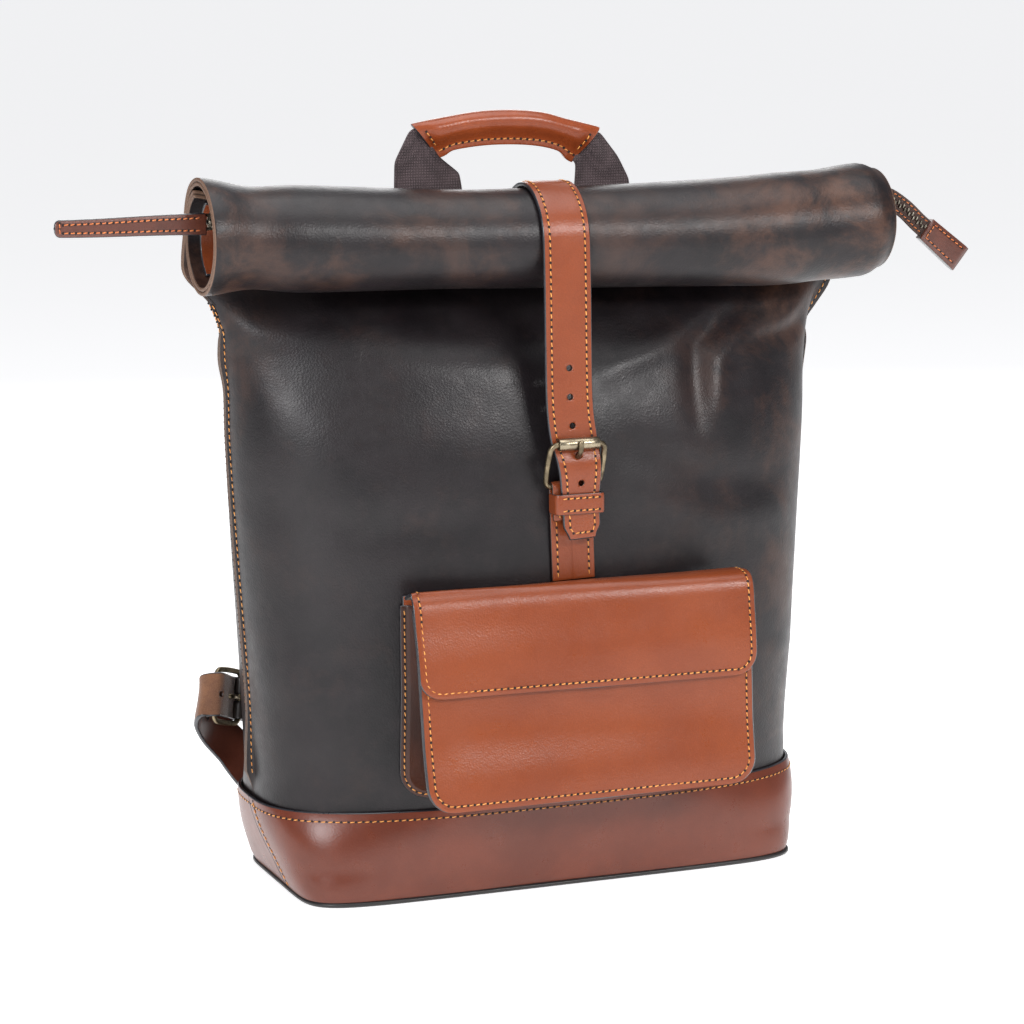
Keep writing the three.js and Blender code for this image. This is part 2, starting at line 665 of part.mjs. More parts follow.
// The pocket's outline, from the top left down, round the bottom and up to the top right.
function pocketPath(halfWidth, bottom, top, corner) {
  const { x } = POCKET;
  const path = new THREE.Path();
  path.moveTo(x - halfWidth, top);
  path.lineTo(x - halfWidth, bottom + corner);
  path.absarc(x - halfWidth + corner, bottom + corner, corner, radians(180), radians(270), false);
  path.lineTo(x + halfWidth - corner, bottom);
  path.absarc(x + halfWidth - corner, bottom + corner, corner, radians(270), radians(360), false);
  path.lineTo(x + halfWidth, top);
  return path;
}

function pocketStations() {
  const { x, halfWidth, bottom, top, corner } = POCKET;
  const stations = [];
  const side = 5;
  const floor = 8;
  const turn = 5;
  const low = bottom + corner;
  for (let k = 0; k < side; k++) stations.push([x - halfWidth, mix(top, low, k / side), 180]);
  for (let k = 0; k < turn; k++) stations.push([null, -1, 180 + (90 * k) / turn]);
  for (let k = 0; k < floor; k++) {
    stations.push([mix(x - halfWidth + corner, x + halfWidth - corner, k / floor), bottom, 270]);
  }
  for (let k = 0; k < turn; k++) stations.push([null, 1, 270 + (90 * k) / turn]);
  for (let k = 0; k <= side; k++) stations.push([x + halfWidth, mix(low, top, k / side), 360]);
  return stations.map(([px, pz, angle]) => {
    const out = vec(Math.cos(radians(angle)), 0, Math.sin(radians(angle)));
    if (px !== null) return { point: vec(px, 0, pz), out };
    const centre = vec(x + pz * (halfWidth - corner), 0, low);
    return { point: centre.addScaledVector(out, corner), out };
  });
}

// The gusset wall stands on the front panel, with a flange turned outwards.
function gusset() {
  const { leather, front } = POCKET;
  const rings = pocketStations().map(({ point, out }) => {
    const at = (outwards, y) => point.clone().addScaledVector(out, outwards).setY(y);
    const rear = (outwards) => {
      const p = at(outwards, 0);
      return surfaceY(-1, p.x, p.z, LIFT);
    };
    return [
      at(0, rear(0) - leather),
      at(FLANGE, rear(FLANGE) - leather),
      at(FLANGE, rear(FLANGE)),
      at(-leather, rear(-leather)),
      at(-leather, front + leather + GAP),
      at(0, front + leather + GAP),
    ];
  });
  return loft(rings);
}

function addPocket() {
  const { halfWidth, bottom, top, corner, leather, front, x } = POCKET;
  add("pocket_gusset", gusset(), TAN, 0.45);
  const face = new THREE.Shape(pocketPath(halfWidth, bottom, top, corner).getPoints(5));
  const options = { depth: leather, bevelEnabled: false };
  const plateFront = new THREE.ExtrudeGeometry(face, options).rotateX(Math.PI / 2);
  add("pocket_front", plateFront.translate(0, front + leather, 0), TAN, 0.45);

  const disc = () => new THREE.CylinderGeometry(MAGNET.radius, MAGNET.radius, MAGNET.thick, 12);
  const rear = front + leather + GAP + MAGNET.thick / 2;
  add("pocket_magnet", disc().translate(x, rear, MAGNET.z), BRASS, 0.4, 0.9);

  const strip = patch(-1, [x - halfWidth, x + halfWidth], [POCKET.top + 0.6, FLAP.top - 1], LIFT, 1.8, 14, 1);
  add("flap_strip", strip, TAN, 0.5);

  // The flap goes forwards over the pocket and down its front.
  const inner = FLAP.front + FLAP.thick;
  const profile = curveOf([
    [0, -87.4, 184.4],
    [0, -95, 187.2],
    [0, -107, 187.6],
    [0, -117.5, 185],
    [0, FLAP.front + 2, 177],
    [0, FLAP.front + FLAP.thick / 2, 166],
    [0, FLAP.front + FLAP.thick / 2, 146],
    [0, FLAP.front + FLAP.thick / 2, FLAP.bottom],
  ]);
  // Its lower corners are rounded.
  const taper = (t) => {
    const up = (1 - t) * profile.getLength();
    if (up > FLAP.corner) return 1;
    const cutIn = FLAP.corner - Math.sqrt(FLAP.corner ** 2 - (FLAP.corner - up) ** 2);
    return 1 - cutIn / FLAP.halfWidth;
  };
  const wide = (t) => 2 * FLAP.halfWidth * taper(t);
  const flap = strap(profile, 26, () => vec(1, 0, 0), wide, () => FLAP.thick);
  add("pocket_flap", flap.translate(x, 0, 0), TAN, 0.45);
  const behind = inner + GAP + MAGNET.thick / 2;
  add("flap_magnet", disc().translate(x, behind, MAGNET.z), BRASS, 0.4, 0.9);
}

// ---------------------------------------------------------------- carry handle

// The middle line of the grip, in the handle's own plane: x, and height above the hinge.
const gripArch = curveOf([
  [GRIP.from, 76, 0],
  [-40, 81, 0],
  [-14, 83, 0],
  [15, 80.5, 0],
  [GRIP.to, 71, 0],
]);

// The run of webbing inside the grip, with some room round it.
function webbingRun(room, reach) {
  const steps = 8;
  const line = Array.from({ length: steps + 1 }, (_, k) => gripArch.getPointAt(k / steps));
  line.unshift(line[0].clone().add(vec(-reach, -0.4 * reach, 0)));
  line.push(line[steps + 1].clone().add(vec(reach, -0.7 * reach, 0)));
  const half = GRIP.inside / 2 + room;
  const above = line.map((p) => new THREE.Vector2(p.x, p.y + half));
  const below = line.map((p) => new THREE.Vector2(p.x, p.y - half)).reverse();
  const options = { depth: HANDLE.thick + 2 * room, bevelEnabled: false };
  const shape = new THREE.Shape([...above, ...below]);
  return new THREE.ExtrudeGeometry(shape, options).translate(0, 0, -HANDLE.thick / 2 - room);
}

// A leg of the webbing, folded towards the grip at its top.
function webbingLeg(points) {
  const shape = new THREE.Shape(points.map(([x, z]) => new THREE.Vector2(x, z)));
  const options = { depth: HANDLE.thick, bevelEnabled: false };
  return new THREE.ExtrudeGeometry(shape, options).translate(0, 0, -HANDLE.thick / 2);
}

function inHandlePlane(geometry) {
  const { y, z, lean } = HANDLE;
  return geometry.rotateX(Math.PI / 2).rotateX(radians(lean)).translate(0, y, z);
}

function addHandle() {
  const { left, right, rise } = HANDLE;
  const [outer, inner] = left;
  // Each leg runs straight up and folds over towards the slanting end of the grip.
  const leftLeg = webbingLeg([
    [outer, rise],
    [outer - 1, 64],
    [-69.5, 83.4],
    [-55.5, 66.2],
    [inner - 2, 56.5],
    [inner, 46],
    [inner, rise],
  ]);
  const rightLeg = webbingLeg([
    [right[1], rise],
    [right[1], 49],
    [62, 63.5],
    [49.6, 78.8],
    [34.4, 61.2],
    [right[0], 55],
    [right[0], rise],
  ]);
  add("handle_webbing", inHandlePlane(join(webbingRun(0, 3), leftLeg, rightLeg)), WEBBING, 0.85);

  // The grip is a wrap of leather with slanting ends.
  const rings = [];
  const steps = 10;
  for (let k = 0; k <= steps; k++) {
    const middle = gripArch.getPointAt(k / steps);
    const slant = k === 0 ? -GRIP.slant : k === steps ? GRIP.slant : 0;
    rings.push(
      Array.from({ length: 12 }, (_, i) => {
        const turn = (2 * Math.PI * i) / 12;
        const high = (Math.sin(turn) * GRIP.height) / 2;
        return vec(middle.x + slant * high, middle.y + high, (Math.cos(turn) * GRIP.thick) / 2);
      }),
    );
  }
  add("handle_grip", inHandlePlane(cut(loft(rings), webbingRun(GAP, 14))), TAN, 0.45);

  for (const [name, span] of [["left", left], ["right", right]]) {
    const foot = patch(1, span, [353.5, 363.5], ANCHOR.lift, ANCHOR.thick, 2, 2);
    add(`handle_anchor_${name}`, foot, WEBBING, 0.85);
  }
}

function addYoke() {
  const { half, low, high, thick } = YOKE;
  add("back_yoke", patch(1, [-half, half], [low, high], LIFT, thick, 12, 5), TAN, 0.5);
}

// ---------------------------------------------------------------- shoulder straps

function mirrorX(geometry) {
  const points = Array.from(geometry.attributes.position.array, (value, i) => (i % 3 ? value : -value));
  const plain = Array.from({ length: points.length / 3 }, (_, i) => i);
  return geometryOf(points, geometry.index ? Array.from(geometry.index.array) : plain);
}

function addShoulder(name, hand) {
  const place = (geometry) => (hand > 0 ? mirrorX(geometry) : geometry);
  const put = (part, geometry, ...look) => add(`${name}_${part}`, place(geometry), ...look);
  const along = vec(...SIDE_BUCKLE.along).normalize();
  const outer = vec(...SIDE_BUCKLE.outer);
  const heel = outer.clone().addScaledVector(along, -SIDE_BUCKLE.length);
  const width = vec(...SIDE_WIDTH).normalize();
  const top = vec(0, 0, 0).crossVectors(width, along).normalize();
  const local = placedAt(heel, along, top);
  // The direction of the buckle's width, pointing upwards.
  const across = vec(1, 0, 0).transformDirection(local);
  if (across.z < 0) across.negate();
  const spot = (y, z) => vec(0, y, z).applyMatrix4(local).toArray();

  const padPath = curveOf([
    [-50, 25, 337],
    [-50, 34, 347],
    [-52, 49, 349],
    [-56, 67, 336],
    [-64, 85, 303],
    [-74, 96, 258],
    [-81, 101, 210],
    [-85, 103, 165],
    [-90, 103, 130],
    [-101, 100, 105],
    [-116, 93, 92],
    spot(-34, 0),
    spot(-20, 0),
    spot(-8, 0),
  ]);
  const turned = (t) => {
    const share = THREE.MathUtils.smoothstep(t, 0.6, 0.9);
    return vec(1, 0, 0).lerp(across.clone().negate(), share).normalize();
  };
  const wide = (t) =>
    mix(30, SHOULDER.width, THREE.MathUtils.smoothstep(t, 0.04, 0.25)) -
    (SHOULDER.width - SHOULDER.endWidth) * THREE.MathUtils.smoothstep(t, 0.62, 0.9);
  const deep = (t) =>
    mix(3.4, SHOULDER.thick, THREE.MathUtils.smoothstep(t, 0.03, 0.16)) -
    (SHOULDER.thick - SHOULDER.endThick) * THREE.MathUtils.smoothstep(t, 0.7, 0.88);
  put("shoulder_strap", strap(padPath, 34, turned, wide, deep), DARK, 0.6);

  const billetPath = curveOf([
    [-151, 62, 51],
    [-163, 67, 68],
    [-177, 65, 84],
    [-185.5, 58, 97],
    [-186.8, 48.6, 106.2],
    spot(SIDE_BUCKLE.length + 5, -6.2),
    spot(SIDE_BUCKLE.length - 2, -5),
    spot(SIDE_BUCKLE.length * 0.5, 0),
    spot(0, 5.6),
    spot(-14, 6.8),
    spot(-28, 7),
    spot(-40, 7.4),
  ]);
  const tip = (t) => mix(1, 0.6, THREE.MathUtils.smoothstep(t, 0.95, 1));
  const lowWidth = vec(0.3, 0.4, 0.87);
  const billetSide = (t) => {
    const share = THREE.MathUtils.smoothstep(t, 0.4, 0.6);
    return lowWidth.clone().lerp(across, share).normalize();
  };
  const flat = strap(billetPath, 36, billetSide, (t) => SHOULDER.billet * tip(t), () => SHOULDER.billetThick);
  const slot = boxAt([-2.3, 0.42 * SIDE_BUCKLE.length, -9], [2.3, SIDE_BUCKLE.length - 1, 9]);
  put("shoulder_billet", cut(flat, slot.applyMatrix4(local)), TAN, 0.6);

  addBuckle("buckle", local, SHOULDER.billet, SIDE_BUCKLE.length, put);
  put("shoulder_chape", chapeFold(SHOULDER.endWidth, 32, 32, 6).applyMatrix4(local), TAN, 0.5);

  const { outside, inside, from, to, low, high, wall } = SIDE_KEEPER;
  const ring = boxAt([-outside, from, low], [outside, to, high]);
  const room = boxAt([-inside, from - wall, low + wall], [inside, to + wall, high - wall]);
  put("strap_keeper", cut(ring, room).applyMatrix4(local), TAN, 0.5);

  put("strap_anchor", patch(1, [-66, -34], [320, 352], ANCHOR.lift, ANCHOR.thick, 2, 3), TAN, 0.5);
  put("billet_anchor", patch(1, [-160, -138], [30, 50], 0.6, 2, 3, 2, 0), TAN, 0.5);
}

// ---------------------------------------------------------------- build

addBody();
addBottom();
addLining();
addRoll();
addZip();
addSlider();
addTail();
addYoke();
addClosure();
addPocket();
addHandle();
addShoulder("left", -1);
addShoulder("right", 1);

export default backpack;
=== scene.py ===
import json
import math
import bpy
import numpy as np
from mathutils import Matrix, Vector

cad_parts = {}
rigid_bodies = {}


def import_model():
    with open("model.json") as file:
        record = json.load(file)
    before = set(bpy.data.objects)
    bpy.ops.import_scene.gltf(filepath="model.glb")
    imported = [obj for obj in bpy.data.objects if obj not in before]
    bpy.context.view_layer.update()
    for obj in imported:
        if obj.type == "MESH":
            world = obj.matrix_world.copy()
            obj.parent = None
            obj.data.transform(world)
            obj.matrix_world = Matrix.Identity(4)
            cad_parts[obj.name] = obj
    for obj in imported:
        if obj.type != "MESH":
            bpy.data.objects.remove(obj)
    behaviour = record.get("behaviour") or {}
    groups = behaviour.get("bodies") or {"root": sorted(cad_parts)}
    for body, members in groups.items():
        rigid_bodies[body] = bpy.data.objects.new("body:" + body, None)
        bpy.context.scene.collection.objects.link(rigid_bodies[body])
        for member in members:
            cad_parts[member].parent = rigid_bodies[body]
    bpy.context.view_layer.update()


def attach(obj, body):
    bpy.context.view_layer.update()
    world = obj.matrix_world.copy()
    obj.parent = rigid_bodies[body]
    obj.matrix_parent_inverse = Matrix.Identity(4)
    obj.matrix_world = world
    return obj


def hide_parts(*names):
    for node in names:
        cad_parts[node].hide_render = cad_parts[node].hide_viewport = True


# The looks of the leather roll-top backpack. Shapes are worked out in millimetres and made in metres.
# +Z is up, the front faces -Y and +X is on the right as the front is seen.

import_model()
rng = np.random.default_rng(7)
MM = 0.001
TO_FRONT = np.array([0, -1.0, 0])

# ---------------------------------------------------------------- dimensions, as in the CAD model

LEATHER = 2.2
PANEL_INSET = 3.3
BASE_TOP = 54.0
PANEL_LOW = 46.0
LINING_TOP = 318.0
STATIONS = np.array([
    [0, 157, -77, 70, 0, 8], [54, 173, -80, 74, 0, 3.6], [130, 178, -85, 72, 0, 2.9],
    [210, 183, -85.5, 64, 0, 2.7], [270, 187, -82, 50, -4, 2.6], [310, 189, -70, 35, -10, 2.5],
    [335, 193, -54, 18, -15, 2.6], [355, 202, -36, 0, -19, 3.2], [375, 212, -25.5, -15, -20.3, 5],
], float)
ROLL_Y, ROLL_Z, ROLL_RADIUS, ROLL_HALF, ROLL_START = -57.0, 393.0, 32.0, 211.0, 12.0
WIND_FROM, WIND_TO, WIND_RADIUS, WIND_END = 190.0, 360.0, 26.2, 430.0
STRAP_X = 2.0
CLOSING_WIDTH = 27
SHOULDER_WIDTH = 25
POCKET_X = 1.0
# The front of the base is rounder towards its top than the back.
FRONT_SQUARE = ((0, 8), (20, 5), (54, 2.8), (90, 2.75), (130, 2.9))

# ---------------------------------------------------------------- small sums


def unit(a):
    a = np.asarray(a, float)
    return a / np.maximum(np.linalg.norm(a, axis=-1, keepdims=True), 1e-12)


def smooth(value, low, high):
    t = np.clip((np.asarray(value, float) - low) / (high - low), 0, 1)
    return t * t * (3 - 2 * t)


def mix(a, b, t):
    return a + (b - a) * t


def bell(value, middle, width):
    return np.exp(-((np.asarray(value, float) - middle) / width) ** 2)


def spaced(low, high, count, edge):
    """Evenly spaced values with extra ones close to both ends."""
    ends = np.array([0, 0.4 * edge, edge])
    inner = np.linspace(low + 2 * edge, high - 2 * edge, count)
    return np.concatenate([low + ends, inner, high - ends[::-1]])


def hermite(t, a, b, slope_a, slope_b):
    """A smooth way from a to b, with its slopes at both ends."""
    return ((2 * t**3 - 3 * t**2 + 1) * a + (t**3 - 2 * t**2 + t) * slope_a
            + (3 * t**2 - 2 * t**3) * b + (t**3 - t**2) * slope_b)


def station(z, column):
    """A smooth value of the body at a height."""
    k = int(np.clip(np.searchsorted(STATIONS[:, 0], z, side="left") - 1, 0, len(STATIONS) - 2))

    def slope(i):
        a = STATIONS[max(i - 1, 0)]
        b = STATIONS[min(i + 1, len(STATIONS) - 1)]
        return (b[column] - a[column]) / (b[0] - a[0])

    a, b = STATIONS[k], STATIONS[k + 1]
    span = b[0] - a[0]
    t = min(max((z - a[0]) / span, 0), 1)
    return hermite(t, a[column], b[column], span * slope(k), span * slope(k + 1))


def looked_up(want, steps, table):
    """The rows of a table at the wanted steps."""
    return np.stack([np.interp(want, steps, table[:, k]) for k in range(table.shape[1])], -1)


def runs(line):
    """The length along a line at each of its points."""
    return np.concatenate([[0], np.cumsum(np.linalg.norm(np.diff(line, axis=0), axis=1))])


def resampled(line, count):
    length = runs(line)
    return looked_up(np.linspace(0, length[-1], count), length, line)


def left_of(line):
    """Unit ways at right angles to a flat line, on its left."""
    along = unit(np.gradient(line, axis=0))
    return np.stack([-along[:, 1], along[:, 0]], 1)


def xyz(x, y, z):
    """Points from values and arrays of values."""
    return np.stack(np.broadcast_arrays(x, y, z), -1)


def at_level(flat, z):
    return xyz(flat[:, 0], flat[:, 1], z)


def circle(count):
    """Angles spaced evenly round a circle."""
    return np.arange(count) / count * math.tau


def bands(count, n):
    """Faces that join rings of n points, each to the next one."""
    return [(k * n + i, k * n + (i + 1) % n, (k + 1) * n + (i + 1) % n, (k + 1) * n + i)
            for k in range(count) for i in range(n)]


def length_of(line):
    return float(np.linalg.norm(np.diff(line, axis=0), axis=1).sum())


def blurred(line, width, spacing):
    """A line smoothed over a width, with its ends kept."""
    reach = int(3 * width / spacing) + 1
    weights = np.exp(-0.5 * (np.arange(-reach, reach + 1) * spacing / width) ** 2)
    weights /= weights.sum()
    first = 2 * line[0] - line[1 : reach + 1][::-1]
    last = 2 * line[-1] - line[-reach - 1 : -1][::-1]
    whole = np.concatenate([first, line, last])
    out = np.stack([np.convolve(whole[:, k], weights, "valid") for k in range(line.shape[1])], 1)
    out[0], out[-1] = line[0], line[-1]
    return out


_rows = {}


def body_row(side, z, inset=0.0):
    """Half of the body's outline at a height, moved inwards: (x, y) from the +X to the -X seam."""
    key = ("row", side, round(float(z), 3), round(float(inset), 3))
    if key in _rows:
        return _rows[key]
    half, seam, square = station(z, 1), station(z, 4), station(z, 5)
    if side < 0 and z < 130:
        square = float(np.interp(z, *zip(*FRONT_SQUARE)))
    depth = station(z, 2 if side < 0 else 3) - seam
    turn = np.linspace(0, math.pi, 401)
    x = half * np.sign(np.cos(turn)) * np.abs(np.cos(turn)) ** (2 / square)
    y = seam + depth * np.clip(np.sin(turn), 0, 1) ** (2 / square)
    line = resampled(np.stack([x, y], 1), 361)
    if inset:
        line = line + left_of(line) * side * inset
        line[:, 1] = np.minimum(line[:, 1], seam - 0.15) if side < 0 else np.maximum(line[:, 1], seam + 0.15)
    _rows[key] = line
    return line


def lip_bump(side_of_bag, z):
    """How far the side seam wanders in and out where the body is pinched under the roll."""
    if side_of_bag < 0:
        tight = -3.6 * float(smooth(z, 60, 110)) - 3.0 * float(smooth(z, 330, 352))
        return tight - 3.0 * bell(z, 341, 7) + 2.0 * bell(z, 318, 12)
    return -3.5 * bell(z, 324, 8) + 2.5 * bell(z, 345, 9)


def panel_row(side, z):
    """The outer face of the dark leather at a height, with the sewn lips at both side seams."""
    key = ("panel", side, round(float(z), 3))
    if key in _rows:
        return _rows[key]
    half, seam = station(z, 1), station(z, 4)
    fade = float(smooth(z, 58, 70))
    line = body_row(side, z, PANEL_INSET).copy()
    tucked = body_row(side, z, PANEL_INSET + 1.5 * fade)
    line = mix(line, tucked, smooth(np.abs(np.linspace(-1, 1, len(line))), 0.6, 0.9)[:, None])
    if fade > 0:
        rest = seam + side * (LEATHER + 0.1)
        clamped = np.minimum(line[:, 1], rest) if side < 0 else np.maximum(line[:, 1], rest)
        line[:, 1] = mix(line[:, 1], clamped, fade)
        right = mix(line[0, 0], half + lip_bump(1, z), fade)
        left = mix(line[-1, 0], -half - lip_bump(-1, z), fade)
        level = mix(seam + side * 0.3, rest, fade)
        line = np.concatenate([[[right, level]], line, [[left, level]]])
    line = resampled(line, 481)
    spacing = length_of(line) / 480
    line = blurred(line, 1.9, spacing)
    _rows[key] = line
    return line


RIDGES = (
    # height of the fold, its width, and the points (x, z) that it runs through
    (2.7, 8.5, ((168, 346), (119, 341), (103, 334), (82, 326), (63, 318), (31, 308))),
    (-3.2, 8.0, ((139, 343), (116, 337), (105, 328), (93, 318), (90, 302), (89, 275))),
    (2.3, 8.0, ((159, 330), (139, 327), (118, 321), (107, 310), (103, 292), (102, 280))),
    (2.0, 6.5, ((182, 348), (169, 335), (159, 329))),
    (-2.0, 6.5, ((170, 325), (150, 320), (134, 318))),
    (2.6, 4.5, ((-201, 359), (-199, 344), (-199, 334))),
    (-3.0, 4.5, ((-191, 353), (-193, 337), (-185, 322))),
    (1.6, 9.0, ((-190, 336), (-150, 333), (-121, 329))),
    (3.2, 19.0, ((-112, 330), (-78, 322), (-40, 316), (-8, 318))),
    (-1.2, 14.0, ((-170, 318), (-140, 300), (-110, 292))),
    (-1.6, 10.0, ((45, 262), (95, 240), (140, 236))),
    (1.6, 11.0, ((40, 238), (95, 216), (150, 214))),
    (-1.4, 12.0, ((-165, 235), (-120, 220), (-60, 222))),
)


def drape(x, z):
    """How far the front leather stands out or falls in, from its folds."""
    x, z = np.broadcast_arrays(np.asarray(x, float), np.asarray(z, float))
    total = np.zeros(x.shape)
    for height, width, points in RIDGES:
        line = resampled(np.array(points, float), 24)
        away = np.full(x.shape, 1e9)
        share = np.zeros(x.shape)
        for k, (px, pz) in enumerate(line):
            d = np.hypot(x - px, z - pz)
            share = np.where(d < away, k / 23, share)
            away = np.minimum(away, d)
        ends = smooth(share, -0.35, 0.25) * smooth(-share, -1.35, -0.75)
        total += height * np.exp(-((away / width) ** 2)) * ends
    return total


def wander(x, z, size, seed):
    """Slow smooth unevenness between about -1 and 1."""
    spread = np.random.default_rng(seed)
    total = 0.0
    for _ in range(5):
        turn = spread.uniform(0, math.tau)
        wave = spread.uniform(0.6, 1.5) / size
        phase = spread.uniform(0, math.tau)
        along = np.asarray(x) * math.cos(turn) + np.asarray(z) * math.sin(turn)
        total = total + np.sin(along * wave + phase)
    return total / 3.2


def panel_at(side, u, z, out=0.0):
    """Points of the dark leather, u from 0 at the +X seam to 1 at the -X seam, moved outwards by out."""
    line = panel_row(side, z)
    u = np.asarray(u, float)
    steps = np.linspace(0, 1, len(line))
    place = looked_up(u, steps, line)
    outwards = looked_up(u, steps, left_of(line) * -side)
    x = place[:, 0]
    free = smooth(u, 0.015, 0.07) * smooth(1 - u, 0.015, 0.07) * float(smooth(z, 60, 90))
    free = free * (1 - float(smooth(z, 362, 375)))
    if side < 0:
        quiet = 1 - 0.8 * bell(x, STRAP_X, 18)
        lift = free * quiet * (drape(x, z) + 0.5 * wander(x, z, 24, 3))
    else:
        lift = free * 0.4 * wander(x, z, 30, 5)
    level = station(z, 4) + side * (LEATHER + 0.1)
    points = at_level(place + outwards * (lift + out)[:, None], z)
    flat = xyz(mix(ROLL_HALF, -ROLL_HALF, u), level + side * out, z)
    return mix(points, flat, float(smooth(z, 350, 375)))


def on_body(side, x, z, lift=0.0):
    """A point on the dark leather at an x and a height, moved outwards, and the way that is outwards."""
    key = ("surface", side, round(float(z), 2), round(float(lift), 2))
    if key not in _rows:
        line = panel_at(side, np.linspace(0.01, 0.99, 500), z, lift)[::-1]
        _rows[key] = line, np.gradient(line[:, 1]) / np.gradient(line[:, 0])
    line, slope = _rows[key]
    x = np.asarray(x, float)
    y = np.interp(x, line[:, 0], line[:, 1])
    tilt = np.interp(x, line[:, 0], slope)
    return xyz(x, y, float(z)), unit(xyz(-tilt * side, float(side), 0.0))


def roll_face(angle):
    """Outer face of the wound leather: (y, z) by angle. Below the start angle the leather rises."""
    angle = np.atleast_1d(np.asarray(angle, float))
    turn = np.radians(angle)
    share = np.clip((angle - WIND_FROM) / (WIND_TO - WIND_FROM), 0, 1)
    radius = mix(ROLL_RADIUS, WIND_RADIUS, share)
    round_part = np.stack([ROLL_Y + radius * np.cos(turn), ROLL_Z + radius * np.sin(turn)], 1)
    start = math.radians(ROLL_START)
    last = np.array([ROLL_Y + ROLL_RADIUS * math.cos(start), ROLL_Z + ROLL_RADIUS * math.sin(start)])
    p = [np.array([-18.0, 376.0]), np.array([-18.6, 384.0]), last + [1.8, -8], last]
    t = (1 + (angle - ROLL_START) / 40)[:, None]
    rise = (1 - t) ** 3 * p[0] + 3 * (1 - t) ** 2 * t * p[1] + 3 * (1 - t) * t**2 * p[2] + t**3 * p[3]
    return np.where(angle[:, None] < ROLL_START, rise, round_part)


def roll_normal(angle):
    along = unit(roll_face(np.asarray(angle) + 0.5) - roll_face(np.asarray(angle) - 0.5))
    return np.stack([-along[:, 1], along[:, 0]], 1)


def settled(points):
    """A smooth value along X through the points (x, value)."""
    steps = np.linspace(-230, 230, 461)
    line = np.interp(steps, *zip(*points))
    reach = np.arange(-45, 46)
    weights = np.exp(-0.5 * (reach / 15) ** 2)
    line = np.convolve(np.pad(line, 45, "edge"), weights / weights.sum(), "valid")
    return lambda x: np.interp(x, steps, line)


# The strap draws the middle of the roll down, and its right half is wound more loosely.
roll_sag = settled(((-230, 0), (-211, 0), (-166, -3.3), (-47, -7.8), (42, -9.5), (131, -9.7),
                    (180, -7.5), (211, -4.0)))
roll_loose = settled(((-211, 0), (-166, -0.5), (-47, -2.0), (42, -0.8), (131, 2.5), (180, 3.6), (211, 2.5)))


def roll_swell(x, angle):
    """Unevenness of the roll, outwards in mm, the same for every layer."""
    grow = smooth(angle, ROLL_START - 5, 60)
    loose = roll_loose(x) * (1 - 0.7 * smooth(angle, 250, 360))
    left = 2.6 * bell(x, -211, 16) - 1.8 * bell(x, -181, 16)
    right = -3.2 * smooth(x, 199, 211) ** 1.5 - 1.2 * bell(x, 172, 16)
    waves = 0.55 * wander(x, np.asarray(angle) * 0.9, 20, 11)
    quiet = 1 - bell(x, STRAP_X, 26)
    return grow * (loose + left + right + waves * quiet * smooth(211 - np.abs(x), 0, 12))


def roll_at(x, angle, inwards):
    """Points of the roll for arrays x and angle of the same shape."""
    x, angle = np.broadcast_arrays(np.asarray(x, float), np.asarray(angle, float))
    face = roll_face(angle.ravel()).reshape(angle.shape + (2,))
    normal = roll_normal(angle.ravel()).reshape(angle.shape + (2,))
    p = face + normal * (inwards - roll_swell(x, angle))[..., None]
    drop = roll_sag(x) * smooth(angle, ROLL_START - 40, 40)
    return xyz(x, p[..., 0], p[..., 1] + drop)


def towards_core(line):
    """Unit ways from points of the roll towards its middle line."""
    return unit(xyz(0.0, ROLL_Y - line[:, 1], ROLL_Z - line[:, 2]))


# ---------------------------------------------------------------- meshes


class Shape:
    """Collects closed bodies, in millimetres, into one piece."""

    def __init__(self):
        self.points, self.faces, self.ids, self.looks, self.count = [], [], [], [], 0

    def look(self, material):
        if material not in self.looks:
            self.looks.append(material)
        return self.looks.index(material)

    def add(self, points, faces, material):
        points = np.asarray(points, float).reshape(-1, 3)
        which = material if isinstance(material, list) else [material] * len(faces)
        self.points.append(points)
        self.faces.extend([tuple(int(i) + self.count for i in face) for face in faces])
        self.ids.extend([self.look(m) for m in which])
        self.count += len(points)
        return self

    def make(self, name, body, nodes=(), slot=None, mirror=False):
        points, faces = np.concatenate(self.points), self.faces
        if mirror:
            points, faces = points * [-1, 1, 1], [face[::-1] for face in faces]
        mesh = bpy.data.meshes.new(name)
        mesh.from_pydata((points * MM).tolist(), [], faces)
        for material in self.looks:
            mesh.materials.append(material)
        mesh.polygons.foreach_set("material_index", np.array(self.ids, np.int32))
        mesh.polygons.foreach_set("use_smooth", np.full(len(faces), True))
        mesh.update()
        made = bpy.data.objects.new(name, mesh)
        bpy.context.scene.collection.objects.link(made)
        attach(made, body)
        if nodes:
            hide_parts(*nodes)
        return made


